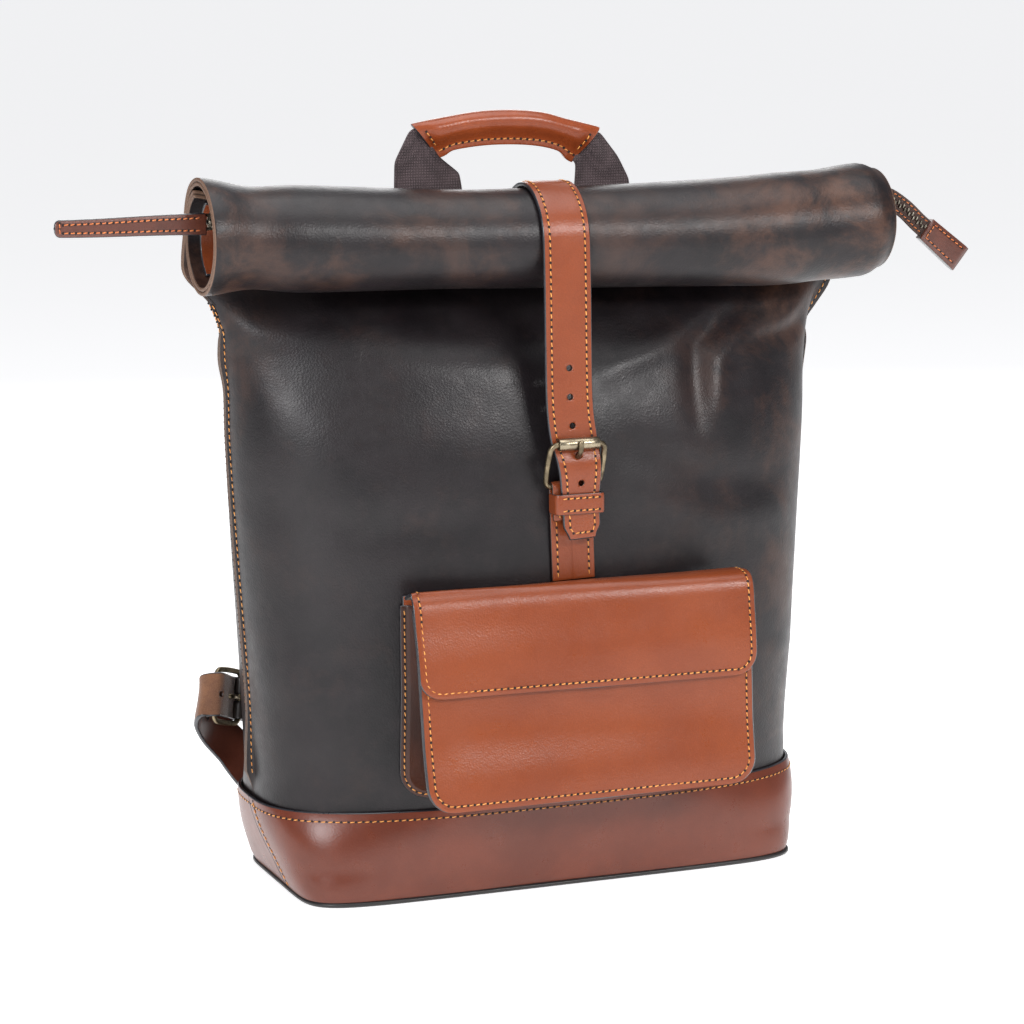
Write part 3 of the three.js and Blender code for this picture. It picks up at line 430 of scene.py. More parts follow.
def slab(shape, outer, inner, looks, bulge=0.35):
    """A closed sheet between two grids of points with a softly rounded edge.
    looks are the materials of the outer face, the inner face and the edge."""
    outer, inner = np.asarray(outer, float), np.asarray(inner, float)
    rows, cols = outer.shape[:2]
    index = np.arange(rows * cols).reshape(rows, cols)
    loop = (
        [(0, c) for c in range(cols - 1)]
        + [(r, cols - 1) for r in range(rows - 1)]
        + [(rows - 1, c) for c in range(cols - 1, 0, -1)]
        + [(r, 0) for r in range(rows - 1, 0, -1)]
    )
    r = np.array([p[0] for p in loop])
    c = np.array([p[1] for p in loop])
    r_in = np.clip(r, 1, rows - 2)
    c_in = np.clip(c, 1, cols - 2)
    a, b = outer[r, c], inner[r, c]
    depth = b - a
    away = a - outer[r_in, c_in]
    thick = np.linalg.norm(depth, axis=1, keepdims=True)
    axis = unit(depth)
    away = unit(away - axis * (away * axis).sum(1, keepdims=True))
    rings = [a]
    for share, reach in ((0.14, 0.7), (0.5, 1.0), (0.86, 0.7)):
        rings.append(a + depth * share + away * thick * bulge * reach)
    size = rows * cols
    n = len(loop)
    points = np.concatenate([outer.reshape(-1, 3), inner.reshape(-1, 3)] + rings[1:])
    ring_ids = [index[r, c]] + [2 * size + k * n + np.arange(n) for k in range(3)] + [size + index[r, c]]
    cells = [(index[i, j], index[i, j + 1], index[i + 1, j + 1], index[i + 1, j])
             for i in range(rows - 1) for j in range(cols - 1)]
    faces = cells + [tuple(size + q for q in cell[::-1]) for cell in cells]
    for low, high in zip(ring_ids, ring_ids[1:]):
        faces += [(low[(m + 1) % n], low[m], high[m], high[(m + 1) % n]) for m in range(n)]
    which = [looks[0]] * len(cells) + [looks[1]] * len(cells) + [looks[2]] * (4 * n)
    return shape.add(points, closed_way(points, faces), which)


def closed_way(points, faces):
    """Turns every face round if the closed body is inside out."""
    fans = np.array([(f[0], f[k], f[k + 1]) for f in faces for k in range(1, len(f) - 1)])
    p = points - points.mean(0)
    volume = np.einsum("ij,ij->i", p[fans[:, 0]], np.cross(p[fans[:, 1]], p[fans[:, 2]])).sum()
    return faces if volume > 0 else [tuple(reversed(face)) for face in faces]


def lofted(shape, rings, material, closed=False, caps=True):
    """Rings of points joined into one body. Its ends are closed by a fan round their middles."""
    rings = [np.asarray(ring, float) for ring in rings]
    n = len(rings[0])
    points = np.concatenate(rings)
    end = (len(rings) - 1) * n
    faces = bands(len(rings) - 1, n)
    if closed:
        faces += [(end + i, end + (i + 1) % n, (i + 1) % n, i) for i in range(n)]
    elif caps:
        points = np.concatenate([points, [rings[0].mean(0)], [rings[-1].mean(0)]])
        first, last = len(points) - 2, len(points) - 1
        for i in range(n):
            j = (i + 1) % n
            faces.append((first, j, i))
            faces.append((last, end + i, end + j))
    return shape.add(points, closed_way(points, faces), material)


def curve(points, count):
    """Evenly spaced points on a smooth curve through the points."""
    p = np.array(points, float)
    q = np.concatenate([[2 * p[0] - p[1]], p, [2 * p[-1] - p[-2]]])
    out = []
    for k in range(1, len(q) - 2):
        t = np.linspace(0, 1, 24, endpoint=False)[:, None]
        out.append(hermite(t, q[k], q[k + 1], (q[k + 1] - q[k - 1]) / 2, (q[k + 2] - q[k]) / 2))
    out.append(p[-1:])
    return resampled(np.concatenate(out), count)


class Ribbon:
    """A strap along a line: across is the way of its width at each point."""

    def __init__(self, path, across, width, thick):
        self.path = np.asarray(path, float)
        n = len(self.path)
        self.along = unit(np.gradient(self.path, axis=0))
        across = np.broadcast_to(np.asarray(across, float), (n, 3))
        across = across - self.along * (across * self.along).sum(1, keepdims=True)
        self.across = unit(across)
        self.up = np.cross(self.along, self.across)
        self.width = np.broadcast_to(np.asarray(width, float), (n,))
        self.thick = np.broadcast_to(np.asarray(thick, float), (n,))
        self.length = length_of(self.path)
        self.share = np.linspace(0, 1, n)

    def _of(self, values, v):
        if values.ndim == 1:
            return np.interp(v, self.share, values)
        return looked_up(v, self.share, values)

    def face(self, k, way):
        """Turns the outer side the way given, as judged at point k."""
        if self.up[k] @ np.array(way, float) < 0:
            self.up = -self.up
        return self

    def at(self, u, v, out=0.0):
        """u from -1 to 1 across, v from 0 to 1 along, out in mm from the middle of the thickness."""
        u, v = np.broadcast_arrays(np.asarray(u, float), np.asarray(v, float))
        out = np.broadcast_to(np.asarray(out, float), u.shape)
        half = self._of(self.width, v) / 2
        return (
            self._of(self.path, v)
            + self._of(self.across, v) * (u * half)[..., None]
            + self._of(self.up, v) * out[..., None]
        )

    def normal(self, v):
        return self._of(self.up, np.asarray(v, float))


def strapping(ribbon, looks, u, v, crown=0.3):
    """A strap of one leather: a crowned outer face, a flat inner face and painted edges."""
    grid_v, grid_u = np.meshgrid(v, u, indexing="ij")
    half = ribbon._of(ribbon.thick, grid_v) / 2
    drop = crown * smooth(np.abs(grid_u), 0.72, 1)
    return slab(Shape(), ribbon.at(grid_u, grid_v, half - drop), ribbon.at(grid_u, grid_v, -half), looks, 0.3)


def frames_of(path, hint):
    along = unit(np.gradient(path, axis=0))
    side = unit(np.cross(along, np.broadcast_to(hint, along.shape)))
    return side, np.cross(side, along)


def rod(shape, path, radius, hint, material, sides=14, flatten=1.0, closed=False, turn_in=True):
    """A round wire along a path, with rounded ends. flatten is its height as a share of its width."""
    path = np.asarray(path, float)
    radius = np.broadcast_to(np.asarray(radius, float), (len(path),)).copy()
    if closed:
        side, up = frames_of(np.concatenate([path[-1:], path, path[:1]]), hint)
        side, up = side[1:-1], up[1:-1]
    else:
        side, up = frames_of(path, hint)
        if turn_in:
            for k, share in ((0, 0.55), (1, 0.88)):
                radius[k] *= share
                radius[-1 - k] *= share
    turn = circle(sides)
    rings = [
        path[k] + side[k] * (np.cos(turn) * radius[k])[:, None]
        + up[k] * (np.sin(turn) * radius[k] * flatten)[:, None]
        for k in range(len(path))
    ]
    return lofted(shape, rings, material, closed=closed)


def tube_wall(shape, base, axis, hint, inner, outer, length, material, sides=24):
    """A short tube with rounded lips, its middle at base."""
    axis = unit(axis)
    side = unit(np.cross(axis, hint))
    up = np.cross(side, axis)
    half = length / 2
    lip = 0.25
    profile = [
        (-half + lip, outer), (-half * 0.5, outer), (half * 0.5, outer), (half - lip, outer),
        (half, outer - lip), (half, inner + 0.1), (half - 0.1, inner), (-half + 0.1, inner),
        (-half, inner + 0.1), (-half, outer - lip),
    ]
    turn = circle(sides)
    rings = [
        base + axis * at + side * (np.cos(turn) * r)[:, None] + up * (np.sin(turn) * r)[:, None]
        for at, r in profile
    ]
    return lofted(shape, rings, material, closed=True)


# ---------------------------------------------------------------- stitches

STITCH_LENGTH = 2.8
STITCH_RADIUS = 0.36
STITCH_SLANT = 9.0
HOLE_RADIUS = 0.86


def stitch_template():
    turn = circle(6)
    half = STITCH_LENGTH / 2
    rings = []
    for x, r, z in ((-half, 0.14, -0.2), (-half + 0.35, 0.3, 0.1), (0, STITCH_RADIUS, 0.24),
                    (half - 0.35, 0.3, 0.1), (half, 0.14, -0.2)):
        rings.append(xyz(x, np.cos(turn) * r, z + np.sin(turn) * r * 0.85))
    points = np.concatenate(rings)
    faces = bands(4, 6) + [tuple(range(5, -1, -1)), tuple(range(24, 30))]
    return points, closed_way(points, faces)


def stitches(shape, lines, pitch=4.0, thread=None, size=1.0):
    """Rows of stitches, each with a near-black disc of painted shade for its needle hole. A line is (points,
    normals) along the seam.
    """
    points, faces = stitch_template()
    turn = circle(6)
    disc = xyz(np.cos(turn) * HOLE_RADIUS, np.sin(turn) * HOLE_RADIUS, 0.15)
    for line, normals in lines:
        line = np.asarray(line, float)
        normals = np.broadcast_to(np.asarray(normals, float), line.shape)
        length = runs(line)
        count = max(int(round(length[-1] / pitch)), 2)
        want = (np.arange(count) + 0.5) * length[-1] / count
        place = looked_up(want, length, line)
        up = unit(looked_up(want, length, normals))
        along = unit(looked_up(want + 0.8, length, line) - looked_up(want - 0.8, length, line))
        up = unit(up - along * (up * along).sum(1, keepdims=True))
        side = np.cross(up, along)
        for k in range(count):
            lean = math.radians(STITCH_SLANT + rng.uniform(-2.5, 2.5))
            a = along[k] * math.cos(lean) + side[k] * math.sin(lean)
            s = side[k] * math.cos(lean) - along[k] * math.sin(lean)
            basis = np.stack([a, s, up[k]]) * size
            shape.add(place[k] + points @ basis, faces, thread or THREAD)
            flat = np.stack([along[k], side[k], up[k]]) * size
            # A flat near-black disc at the needle hole: painted shade in place of a real hole.
            shape.add(place[k] + (disc + [pitch / 2, 0, 0]) @ flat, [tuple(range(6))], NEEDLE_HOLE_SHADE)
    return shape


# ---------------------------------------------------------------- materials


class Look:
    """Builds one procedural material. Its patterns lie in the object's own space, in metres."""

    def __init__(self, name):
        self.material = bpy.data.materials.new(name)
        self.material.use_nodes = True
        self.tree = self.material.node_tree
        self.shader = self.tree.nodes["Principled BSDF"]
        self.place = self.tree.nodes.new("ShaderNodeTexCoord").outputs["Object"]

    def feed(self, socket, value):
        """Gives a socket a link, a colour or a number."""
        if isinstance(value, bpy.types.NodeSocket):
            self.tree.links.new(value, socket)
        elif socket.type == "RGBA":
            socket.default_value = (*value, 1)
        else:
            socket.default_value = value

    def node(self, kind, inputs=None, **settings):
        made = self.tree.nodes.new(kind)
        for key, value in settings.items():
            setattr(made, key, value)
        for key, value in (inputs or {}).items():
            self.feed(made.inputs[key], value)
        return made

    def noise(self, scale, detail=3.0, rough=0.55, stretch=None, distortion=0.0):
        place = self.stretched(stretch) if stretch else self.place
        settings = {"Vector": place, "Scale": scale, "Detail": detail, "Roughness": rough,
                    "Distortion": distortion}
        return self.node("ShaderNodeTexNoise", settings).outputs["Fac"]

    def stretched(self, scale):
        return self.node("ShaderNodeMapping", {"Vector": self.place, "Scale": scale}).outputs["Vector"]

    def cells(self, scale):
        return self.node("ShaderNodeTexVoronoi", {"Vector": self.place, "Scale": scale}).outputs["Distance"]

    def ranged(self, value, low, high, to_low=0.0, to_high=1.0):
        settings = {"Value": value, "From Min": low, "From Max": high, "To Min": to_low, "To Max": to_high}
        return self.node("ShaderNodeMapRange", settings, interpolation_type="SMOOTHSTEP").outputs["Result"]

    def sums(self, kind, a, b):
        return self.node("ShaderNodeMath", {0: a, 1: b}, operation=kind).outputs[0]

    def blend(self, share, a, b):
        return self.node("ShaderNodeMix", {0: share, 6: a, 7: b}, data_type="RGBA").outputs[2]

    def axis(self, name):
        return self.node("ShaderNodeSeparateXYZ", {"Vector": self.place}).outputs[name]

    def bump(self, height, distance, strength=1.0, after=None):
        settings = {"Height": height, "Distance": distance, "Strength": strength}
        if after is not None:
            settings["Normal"] = after
        return self.node("ShaderNodeBump", settings).outputs["Normal"]

    def done(self, colour=None, roughness=None, normal=None, **constants):
        for socket, value in (("Base Color", colour), ("Roughness", roughness), ("Normal", normal)):
            if value is not None:
                self.feed(self.shader.inputs[socket], value)
        for key, value in constants.items():
            self.feed(self.shader.inputs[key.replace("_", " ")], value)
        return self.material


def leather(name, dark, middle, light, rough=(0.34, 0.5), grain=900.0, depth=0.00012, mottle=22.0,
            coat=0.25, worn=0.4, waves=0.25, specular=0.45, extra=None):
    """Waxed leather: cloudy colour, fine pores, soft creases and worn light patches."""
    look = Look(name)
    cloud = look.noise(mottle, 4, 0.6)
    patch = look.noise(mottle * 3.1, 5, 0.65)
    colour = look.blend(look.ranged(cloud, 0.32, 0.66), dark, middle)
    colour = look.blend(look.ranged(patch, 0.5, 0.8, 0, worn), colour, light)
    fine = look.noise(1400, 3, 0.7)
    colour = look.blend(look.ranged(fine, 0.25, 0.75, 0.28, 0.0), colour, tuple(c * 0.45 for c in dark))
    if extra:
        colour = extra(look, colour)
    pores = look.cells(grain)
    creases = look.noise(160, 5, 0.62, distortion=0.6)
    height = look.sums("ADD", look.sums("MULTIPLY", pores, 0.55), look.sums("MULTIPLY", creases, 0.8))
    wide = look.noise(38, 3, 0.5)
    normal = look.bump(wide, 0.0011, waves)
    normal = look.bump(height, depth, 0.9, normal)
    shine = look.sums("ADD", patch, look.sums("MULTIPLY", fine, 0.35))
    gloss = look.ranged(shine, 0.35, 0.95, rough[1], rough[0])
    return look.done(colour, gloss, normal, Coat_Weight=coat, Coat_Roughness=0.3,
                     Specular_IOR_Level=specular)


def dark_extra(look, colour):
    """Brown shows through the waxed dark leather, most at the ends of the roll and on the right."""
    x, z = look.axis("X"), look.axis("Z")
    roll = look.ranged(z, 0.355, 0.37, 0.0, 0.5)
    ends = look.sums("MAXIMUM", look.ranged(x, -0.15, -0.205), look.ranged(x, 0.04, 0.16))
    ends = look.sums("MAXIMUM", ends, roll)
    spots = look.ranged(look.noise(21, 8, 0.66, distortion=0.35), 0.44, 0.66)
    spots_left = look.sums("MULTIPLY", ends, spots)
    high = look.ranged(z, 0.25, 0.4, 0.45, 1.0)
    colour = look.blend(look.sums("MULTIPLY", look.sums("MULTIPLY", spots_left, high), 0.72), colour,
                        (0.105, 0.047, 0.028))
    rubbed = look.sums("MULTIPLY", look.ranged(look.noise(34, 6, 0.72), 0.52, 0.72), 0.2)
    colour = look.blend(rubbed, colour, (0.05, 0.025, 0.019))
    grey = look.sums("MULTIPLY", look.ranged(look.noise(13, 3, 0.5), 0.45, 0.7), 0.35)
    return look.blend(grey, colour, (0.03, 0.026, 0.0265))


DARK = leather("dark_leather", (0.0062, 0.0045, 0.0056), (0.0125, 0.009, 0.0104), (0.03, 0.0195, 0.0185),
               rough=(0.33, 0.46), grain=800, depth=0.00016, mottle=30.0, coat=0.05, worn=0.35, waves=0.12,
               specular=0.34, extra=dark_extra)
BASE = leather("base_leather", (0.13, 0.027, 0.0115), (0.17, 0.037, 0.016), (0.22, 0.056, 0.026),
               rough=(0.26, 0.36), grain=900, depth=0.00008, coat=0.2, worn=0.25, specular=0.42)
TAN = leather("tan_leather", (0.215, 0.043, 0.0115), (0.255, 0.055, 0.0155), (0.32, 0.082, 0.026),
              rough=(0.26, 0.38), grain=900, depth=0.00013, mottle=16.0, coat=0.12, worn=0.22, waves=0.26,
              specular=0.36)
# A darker copy of the tan leather for the pocket's gusset: painted shade, as the gusset sits in shadow
# between the flap, the pocket front and the body.
SHADED_GUSSET = leather("gusset_leather_painted_shade", (0.03, 0.01, 0.006), (0.055, 0.016, 0.008), (0.09, 0.028, 0.013),
                 rough=(0.34, 0.46), grain=900, depth=0.00009, coat=0.05, worn=0.25, specular=0.36)
GRIP = leather("grip_leather", (0.24, 0.045, 0.011), (0.33, 0.07, 0.019), (0.42, 0.11, 0.036),
               rough=(0.24, 0.36), grain=850, depth=0.0001, coat=0.15, worn=0.25, specular=0.36)
TAB = leather("pull_leather", (0.075, 0.02, 0.011), (0.125, 0.035, 0.02), (0.2, 0.066, 0.04),
              rough=(0.28, 0.4), grain=900, depth=0.0001, coat=0.4)
STRAP = leather("shoulder_leather", (0.016, 0.013, 0.012), (0.03, 0.023, 0.02), (0.07, 0.042, 0.03),
                rough=(0.38, 0.55), grain=900, depth=0.00012, coat=0.2)


def suede():
    look = Look("strap_suede")
    cloud = look.noise(60, 5, 0.65)
    fibre = look.noise(1500, 4, 0.75)
    colour = look.blend(look.ranged(cloud, 0.3, 0.7), (0.11, 0.04, 0.017), (0.23, 0.1, 0.045))
    colour = look.blend(look.ranged(fibre, 0.3, 0.8, 0, 0.5), colour, (0.31, 0.15, 0.075))
    normal = look.bump(fibre, 0.0003, 0.9)
    return look.done(colour, look.ranged(cloud, 0.3, 0.7, 0.75, 0.95), normal, Sheen_Weight=0.4,
                     Sheen_Roughness=0.5)


def flesh():
    """The soft inner side of the leather."""
    look = Look("leather_flesh_side")
    cloud = look.noise(50, 4, 0.6)
    fibre = look.noise(900, 4, 0.75)
    colour = look.blend(look.ranged(cloud, 0.3, 0.7), (0.028, 0.017, 0.012), (0.06, 0.035, 0.023))
    return look.done(colour, look.ranged(fibre, 0.3, 0.7, 0.75, 0.95), look.bump(fibre, 0.00025, 0.8),
                     Sheen_Weight=0.2, Sheen_Roughness=0.5)


def edge_paint(name, colour, other, rough):
    look = Look(name)
    cloud = look.noise(180, 4, 0.6)
    mixed = look.blend(look.ranged(cloud, 0.35, 0.7), colour, other)
    ripple = look.noise(420, 3, 0.5)
    return look.done(mixed, look.ranged(cloud, 0.3, 0.7, rough, rough + 0.14),
                     look.bump(ripple, 0.00022, 0.7), Coat_Weight=0.7, Coat_Roughness=0.22)


def raw_edge():
    """A cut edge of leather: pale tan above about 365 mm, and darker and greyer below about 345 mm."""
    look = Look("raw_edge")
    layers = look.noise(700, 4, 0.6)
    height = look.ranged(look.axis("Z"), 0.345, 0.365)
    colour = look.blend(height, (0.12, 0.085, 0.065), (0.17, 0.098, 0.062))
    colour = look.blend(look.ranged(layers, 0.35, 0.75, 0, 0.6), colour, (0.11, 0.05, 0.03))
    return look.done(colour, look.ranged(layers, 0.3, 0.7, 0.5, 0.7), look.bump(layers, 0.0002, 0.8))


def thread(name, colour, light):
    look = Look(name)
    cloud = look.noise(260, 3, 0.6)
    twist = look.noise(2600, 2, 0.5)
    mixed = look.blend(look.ranged(cloud, 0.3, 0.7), colour, light)
    return look.done(mixed, look.ranged(twist, 0.3, 0.7, 0.42, 0.62), look.bump(twist, 0.00015, 0.8),
                     Sheen_Weight=0.25, Sheen_Roughness=0.4)


# Near-black for the flat discs at the needle holes: painted shade in place of the holes' own darkness.
def needle_hole_shade():
    look = Look("needle_hole_painted_shade")
    cloud = look.noise(600, 2, 0.5)
    return look.done(look.blend(cloud, (0.008, 0.004, 0.003), (0.02, 0.01, 0.008)),
                     look.ranged(cloud, 0.2, 0.8, 0.75, 0.9))


METAL_CLOUDS = 70.0


def metal(name, bright, dull, rough, extra_dark=0.6):
    look = Look(name)
    cloud = look.noise(METAL_CLOUDS, 5, 0.65)
    marks = look.noise(900, 4, 0.7)
    stain = look.noise(METAL_CLOUDS * 3.2, 6, 0.7)
    colour = look.blend(look.ranged(cloud, 0.34, 0.66), dull, bright)
    colour = look.blend(look.ranged(stain, 0.55, 0.72, 0, extra_dark), colour, tuple(c * 0.3 for c in dull))
    shine = look.sums("ADD", stain, look.sums("MULTIPLY", marks, 0.4))
    gloss = look.ranged(shine, 0.45, 0.95, rough, rough + 0.25)
    normal = look.bump(marks, 0.00006, 0.5, look.bump(cloud, 0.0003, 0.4))
    return look.done(colour, gloss, normal, Metallic=1.0)


def weave(name, dark, light, pitch, depth, rough, sheen=0.2):
    """Woven cloth: crossed sets of threads."""
    look = Look(name)
    settings = {"Vector": look.place, "Scale": pitch, "Distortion": 0.6, "Detail": 2.0}
    one, two, three = (look.node("ShaderNodeTexWave", settings, bands_direction=way).outputs["Fac"]
                       for way in "XZY")
    threads = look.sums("ADD", look.sums("MULTIPLY", one, two), look.sums("MULTIPLY", three, 0.4))
    cloud = look.noise(45, 4, 0.6)
    share = look.sums("ADD", look.ranged(threads, 0.1, 1.1, 0, 0.7), look.ranged(cloud, 0.35, 0.7, 0, 0.3))
    colour = look.blend(share, dark, light)
    fuzz = look.noise(1800, 3, 0.7)
    normal = look.bump(look.sums("ADD", threads, look.sums("MULTIPLY", fuzz, 0.5)), depth, 0.9)
    return look.done(colour, look.ranged(cloud, 0.3, 0.7, rough - 0.1, rough), normal, Sheen_Weight=sheen,
                     Sheen_Roughness=0.5)


def board():
    look = Look("base_board")
    fibre = look.noise(240, 5, 0.7, stretch=(1, 5, 1))
    fleck = look.cells(500)
    colour = look.blend(look.ranged(fibre, 0.3, 0.7), (0.13, 0.085, 0.05), (0.24, 0.17, 0.11))
    colour = look.blend(look.ranged(fleck, 0.0, 0.25, 0.5, 0), colour, (0.07, 0.045, 0.03))
    return look.done(colour, look.ranged(fibre, 0.3, 0.7, 0.8, 0.95), look.bump(fibre, 0.0003, 0.7))


SUEDE = suede()
FLESH = flesh()
BLACK_EDGE = edge_paint("black_edge_paint", (0.011, 0.012, 0.016), (0.022, 0.022, 0.027), 0.26)
BROWN_EDGE = edge_paint("brown_edge_paint", (0.05, 0.018, 0.009), (0.028, 0.012, 0.008), 0.35)
RAW_EDGE = raw_edge()
THREAD = thread("golden_thread", (0.6, 0.21, 0.03), (0.85, 0.38, 0.085))
THREAD_RED = thread("orange_thread", (0.5, 0.11, 0.022), (0.72, 0.22, 0.05))
NEEDLE_HOLE_SHADE = needle_hole_shade()
BRASS = metal("antique_brass", (0.31, 0.25, 0.16), (0.12, 0.095, 0.062), 0.24, extra_dark=0.85)
ROLLER = metal("roller_brass", (0.4, 0.34, 0.24), (0.19, 0.155, 0.105), 0.2, extra_dark=0.75)
ZIP_METAL = metal("zip_metal", (0.3, 0.27, 0.22), (0.13, 0.115, 0.09), 0.25)
MAGNET = metal("magnet_metal", (0.48, 0.48, 0.47), (0.3, 0.3, 0.3), 0.3, extra_dark=0.3)
WEBBING = weave("handle_webbing", (0.04, 0.026, 0.028), (0.135, 0.095, 0.1), 190, 0.0003, 0.85)
LINING = weave("lining_cloth", (0.012, 0.012, 0.015), (0.035, 0.034, 0.04), 420, 0.00012, 0.95, 0.25)
TAPE = weave("zip_tape", (0.035, 0.017, 0.013), (0.085, 0.045, 0.034), 330, 0.0002, 0.9)
BOTTOM = leather("bottom_leather", (0.009, 0.008, 0.008), (0.017, 0.014, 0.013), (0.035, 0.026, 0.022),
                 rough=(0.36, 0.55), coat=0.3)
BOARD = board()
# Materials of a sheet's outer face, inner face and edge.
TAN_SHEET = (TAN, FLESH, BLACK_EDGE)
STRAP_SHEET = (STRAP, FLESH, BLACK_EDGE)

# ---------------------------------------------------------------- body leathers and roll


def body_leather(name, side, nodes):
    """One leather from behind the base band up to the end of the roll, in one piece."""
    u = spaced(0, 1, 110, 0.004)
    heights = np.concatenate([np.arange(PANEL_LOW, 288, 6.0), np.arange(288, 355, 2.5),
                              np.linspace(355, 375, 9)])
    angles = np.concatenate([np.linspace(ROLL_START - 38, ROLL_START, 9), np.arange(16, WIND_END - 2, 4.0),
                             [WIND_END - 1.5, WIND_END - 0.5, WIND_END]])
    first = 0.0 if side > 0 else LEATHER + 0.3
    x = mix(ROLL_HALF, -ROLL_HALF, u)
    faces = []
    for depth in (0.0, LEATHER):
        body = [panel_at(side, u, z, -depth) for z in heights]
        # On the front leather the roll's outer side is the side that faces into the bag.
        inwards = first + depth if side > 0 else first + LEATHER - depth
        roll = [roll_at(x, a, inwards) for a in angles]
        faces.append(body + roll)
    slab(Shape(), *faces, (DARK, FLESH, RAW_EDGE), 0.3).make(name, "bag", nodes, "dark_leather")


body_leather("front_leather", -1, ("front_panel", "roll_front_leather"))
body_leather("back_leather", 1, ("back_panel", "roll_back_leather"))


def seam_lines():
    """Stitches along both side lips, seen from the front and from the back."""
    lines = []
    for side in (-1, 1):
        for hand in (0, 1):
            line = []
            for z in np.arange(68, 356, 4.0):
                share = 3.4 / length_of(panel_row(side, z))
                line.append(panel_at(side, np.array([abs(hand - share)]), z, 0.05)[0])
            lines.append((np.array(line), (0, side, 0)))
    return lines


stitches(Shape(), seam_lines(), 4.2).make("side_seam_stitches", "bag")


def roll_stitches():
    """Short golden stitches near the ends of the roll, on the outer leather's edge and inside the mouth."""
    lines = [roll_at(x, np.linspace(300, 424, 60), 4.75) for x in (-203.4025, 202.4175)]
    return [(line, towards_core(line)) for line in lines]


stitches(Shape(), roll_stitches(), 4.0).make("roll_end_stitches", "bag")

# The leather band inside the mouth, with a row of stitches along its edge.
band_x = spaced(-204, 204, 60, 1.2)
band_angles = spaced(300, 424, 34, 1.5)
grid_a, grid_x = np.meshgrid(band_angles, band_x, indexing="ij")
band_faces = (roll_at(grid_x, grid_a, depth) for depth in (5.05, 7.0))
slab(Shape(), *band_faces, (FLESH, TAN, BLACK_EDGE), 0.35).make(
    "mouth_leather_band", "bag", ("mouth_band",), "tan_leather")

shape = Shape()
for angle in (303.5, 420.0):
    line = roll_at(np.linspace(-201, 201, 220), angle, 7.05)
    stitches(shape, [(line, towards_core(line))], 4.5)
shape.make("mouth_band_stitches", "bag")

# ---------------------------------------------------------------- base, bottom and lining


def base_band(name, side, nodes):
    """One half of the tan base: slanted at both ends and rounded under at its lower edge."""
    heights = spaced(3.3, BASE_TOP, 16, 1.0)
    outer, inner = [], []
    for z in heights:
        band = body_row(side, z)
        share = np.linspace(0, 1, len(band))
        # The back half laps round to the front at the bottom, so that the seam slants.
        slant = 0.05 * (1 - float(smooth(z, 0, BASE_TOP)))
        if side < 0:
            u = spaced(slant + 0.001, 1 - slant - 0.001, 90, 0.003)
            line = looked_up(u, share, band)
        else:
            other = body_row(-1, z)
            u = spaced(0.001, 0.999, 90, 0.003)
            lap = int(slant * 360)
            whole = np.concatenate([other[lap:0:-1], band, other[-2 : 359 - lap : -1]])
            line = looked_up(u, np.linspace(0, 1, 720), resampled(whole, 720))
        way = left_of(line) * -side
        low = 0.8 * (1 - float(smooth(z, 2, 8)))
        belly = 0.7 * math.sin(math.pi * (z - 3) / (BASE_TOP - 3)) + 0.1
        push = belly - low + 0.35 * wander(line[:, 0], z + line[:, 1], 20, 9)
        push = np.minimum(push, 1.1)
        outer.append(at_level(line + way * push[:, None], z))
        inner.append(at_level(line + way * (push - LEATHER)[:, None], z))
    slab(Shape(), outer, inner, (BASE, FLESH, BLACK_EDGE), 0.35).make(name, "bag", nodes, "base_leather")
    return np.array(outer), heights


def row_line(grid, heights, z):
    """A level line on a grid of rows."""
    k = int(np.clip(np.searchsorted(heights, z) - 1, 0, len(heights) - 2))
    share = (z - heights[k]) / (heights[k + 1] - heights[k])
    return mix(grid[k], grid[k + 1], share)


def level_normals(line, side):
    return at_level(left_of(line) * -side, 0.0)


def all_round(z, inset, every):
    """The whole outline of the body at a height."""
    front, back = (body_row(side, z, inset)[::every] for side in (-1, 1))
    return np.concatenate([front[:-1], back[:0:-1]])


base_parts = {side: base_band(f"base_{name}_leather", side, (f"base_{name}",))
              for side, name in ((-1, "front"), (1, "back"))}

shape = Shape()
for side in (-1, 1):
    grid, heights = base_parts[side]
    line = row_line(grid, heights, BASE_TOP - 4.2)
    normals = level_normals(line, side)
    stitches(shape, [(line[2:-2] + normals[2:-2] * 0.05, normals[2:-2])], 4.3)
# One row beside each slanted seam.
grid, heights = base_parts[-1]
for column in (4, -5):
    line = grid[2:-2, column]
    normal = level_normals(grid[len(heights) // 2], -1)[column]
    stitches(shape, [(line + normal * 0.05, normal)], 4.2)
shape.make("base_stitches", "bag")

# The black bottom plate: a rounded leather sole.
SOLE = ((0.0, 4.0), (0.0, 1.4), (0.4, 0.0), (1.2, -0.9), (2.3, -0.9), (3.0, -0.2), (3.1, 3.0))
rings = [at_level(all_round(3.0, inset + 0.4, 4), z) for z, inset in SOLE]
lofted(Shape(), rings, BOTTOM).make("bottom_sole", "bag", ("bottom_panel",), "bottom")

# The cloth lining, a bag of its own with soft folds.
LINING_FLOOR = 6.2
outer, inner = [], []
heights = np.concatenate([[LINING_FLOOR + 0.2, LINING_FLOOR + 0.6], np.linspace(10, LINING_TOP, 42)])
for z in heights:
    flat = all_round(max(z, 12.0), 9.0 + 3.0 * (1 - float(smooth(z, 4, 22))), 3)
    along = unit(np.roll(flat, -1, 0) - np.roll(flat, 1, 0))
    way = np.stack([along[:, 1], -along[:, 0]], 1)
    if np.mean((way * flat).sum(1)) < 0:
        way = -way
    fold = 0.5 * wander(flat[:, 0] * 1.5 + flat[:, 1], z, 14, 21) - 0.6
    outer.append(at_level(flat + way * fold[:, None], z))
    inner.append(at_level(flat + way * (fold - 1.0)[:, None], z + (1.0 if z < 9 else 0.0)))
outer, inner = np.array(outer), np.array(inner)
middle_out = outer[0].mean(0) * [1, 1, 0] + [0, 0, LINING_FLOOR]
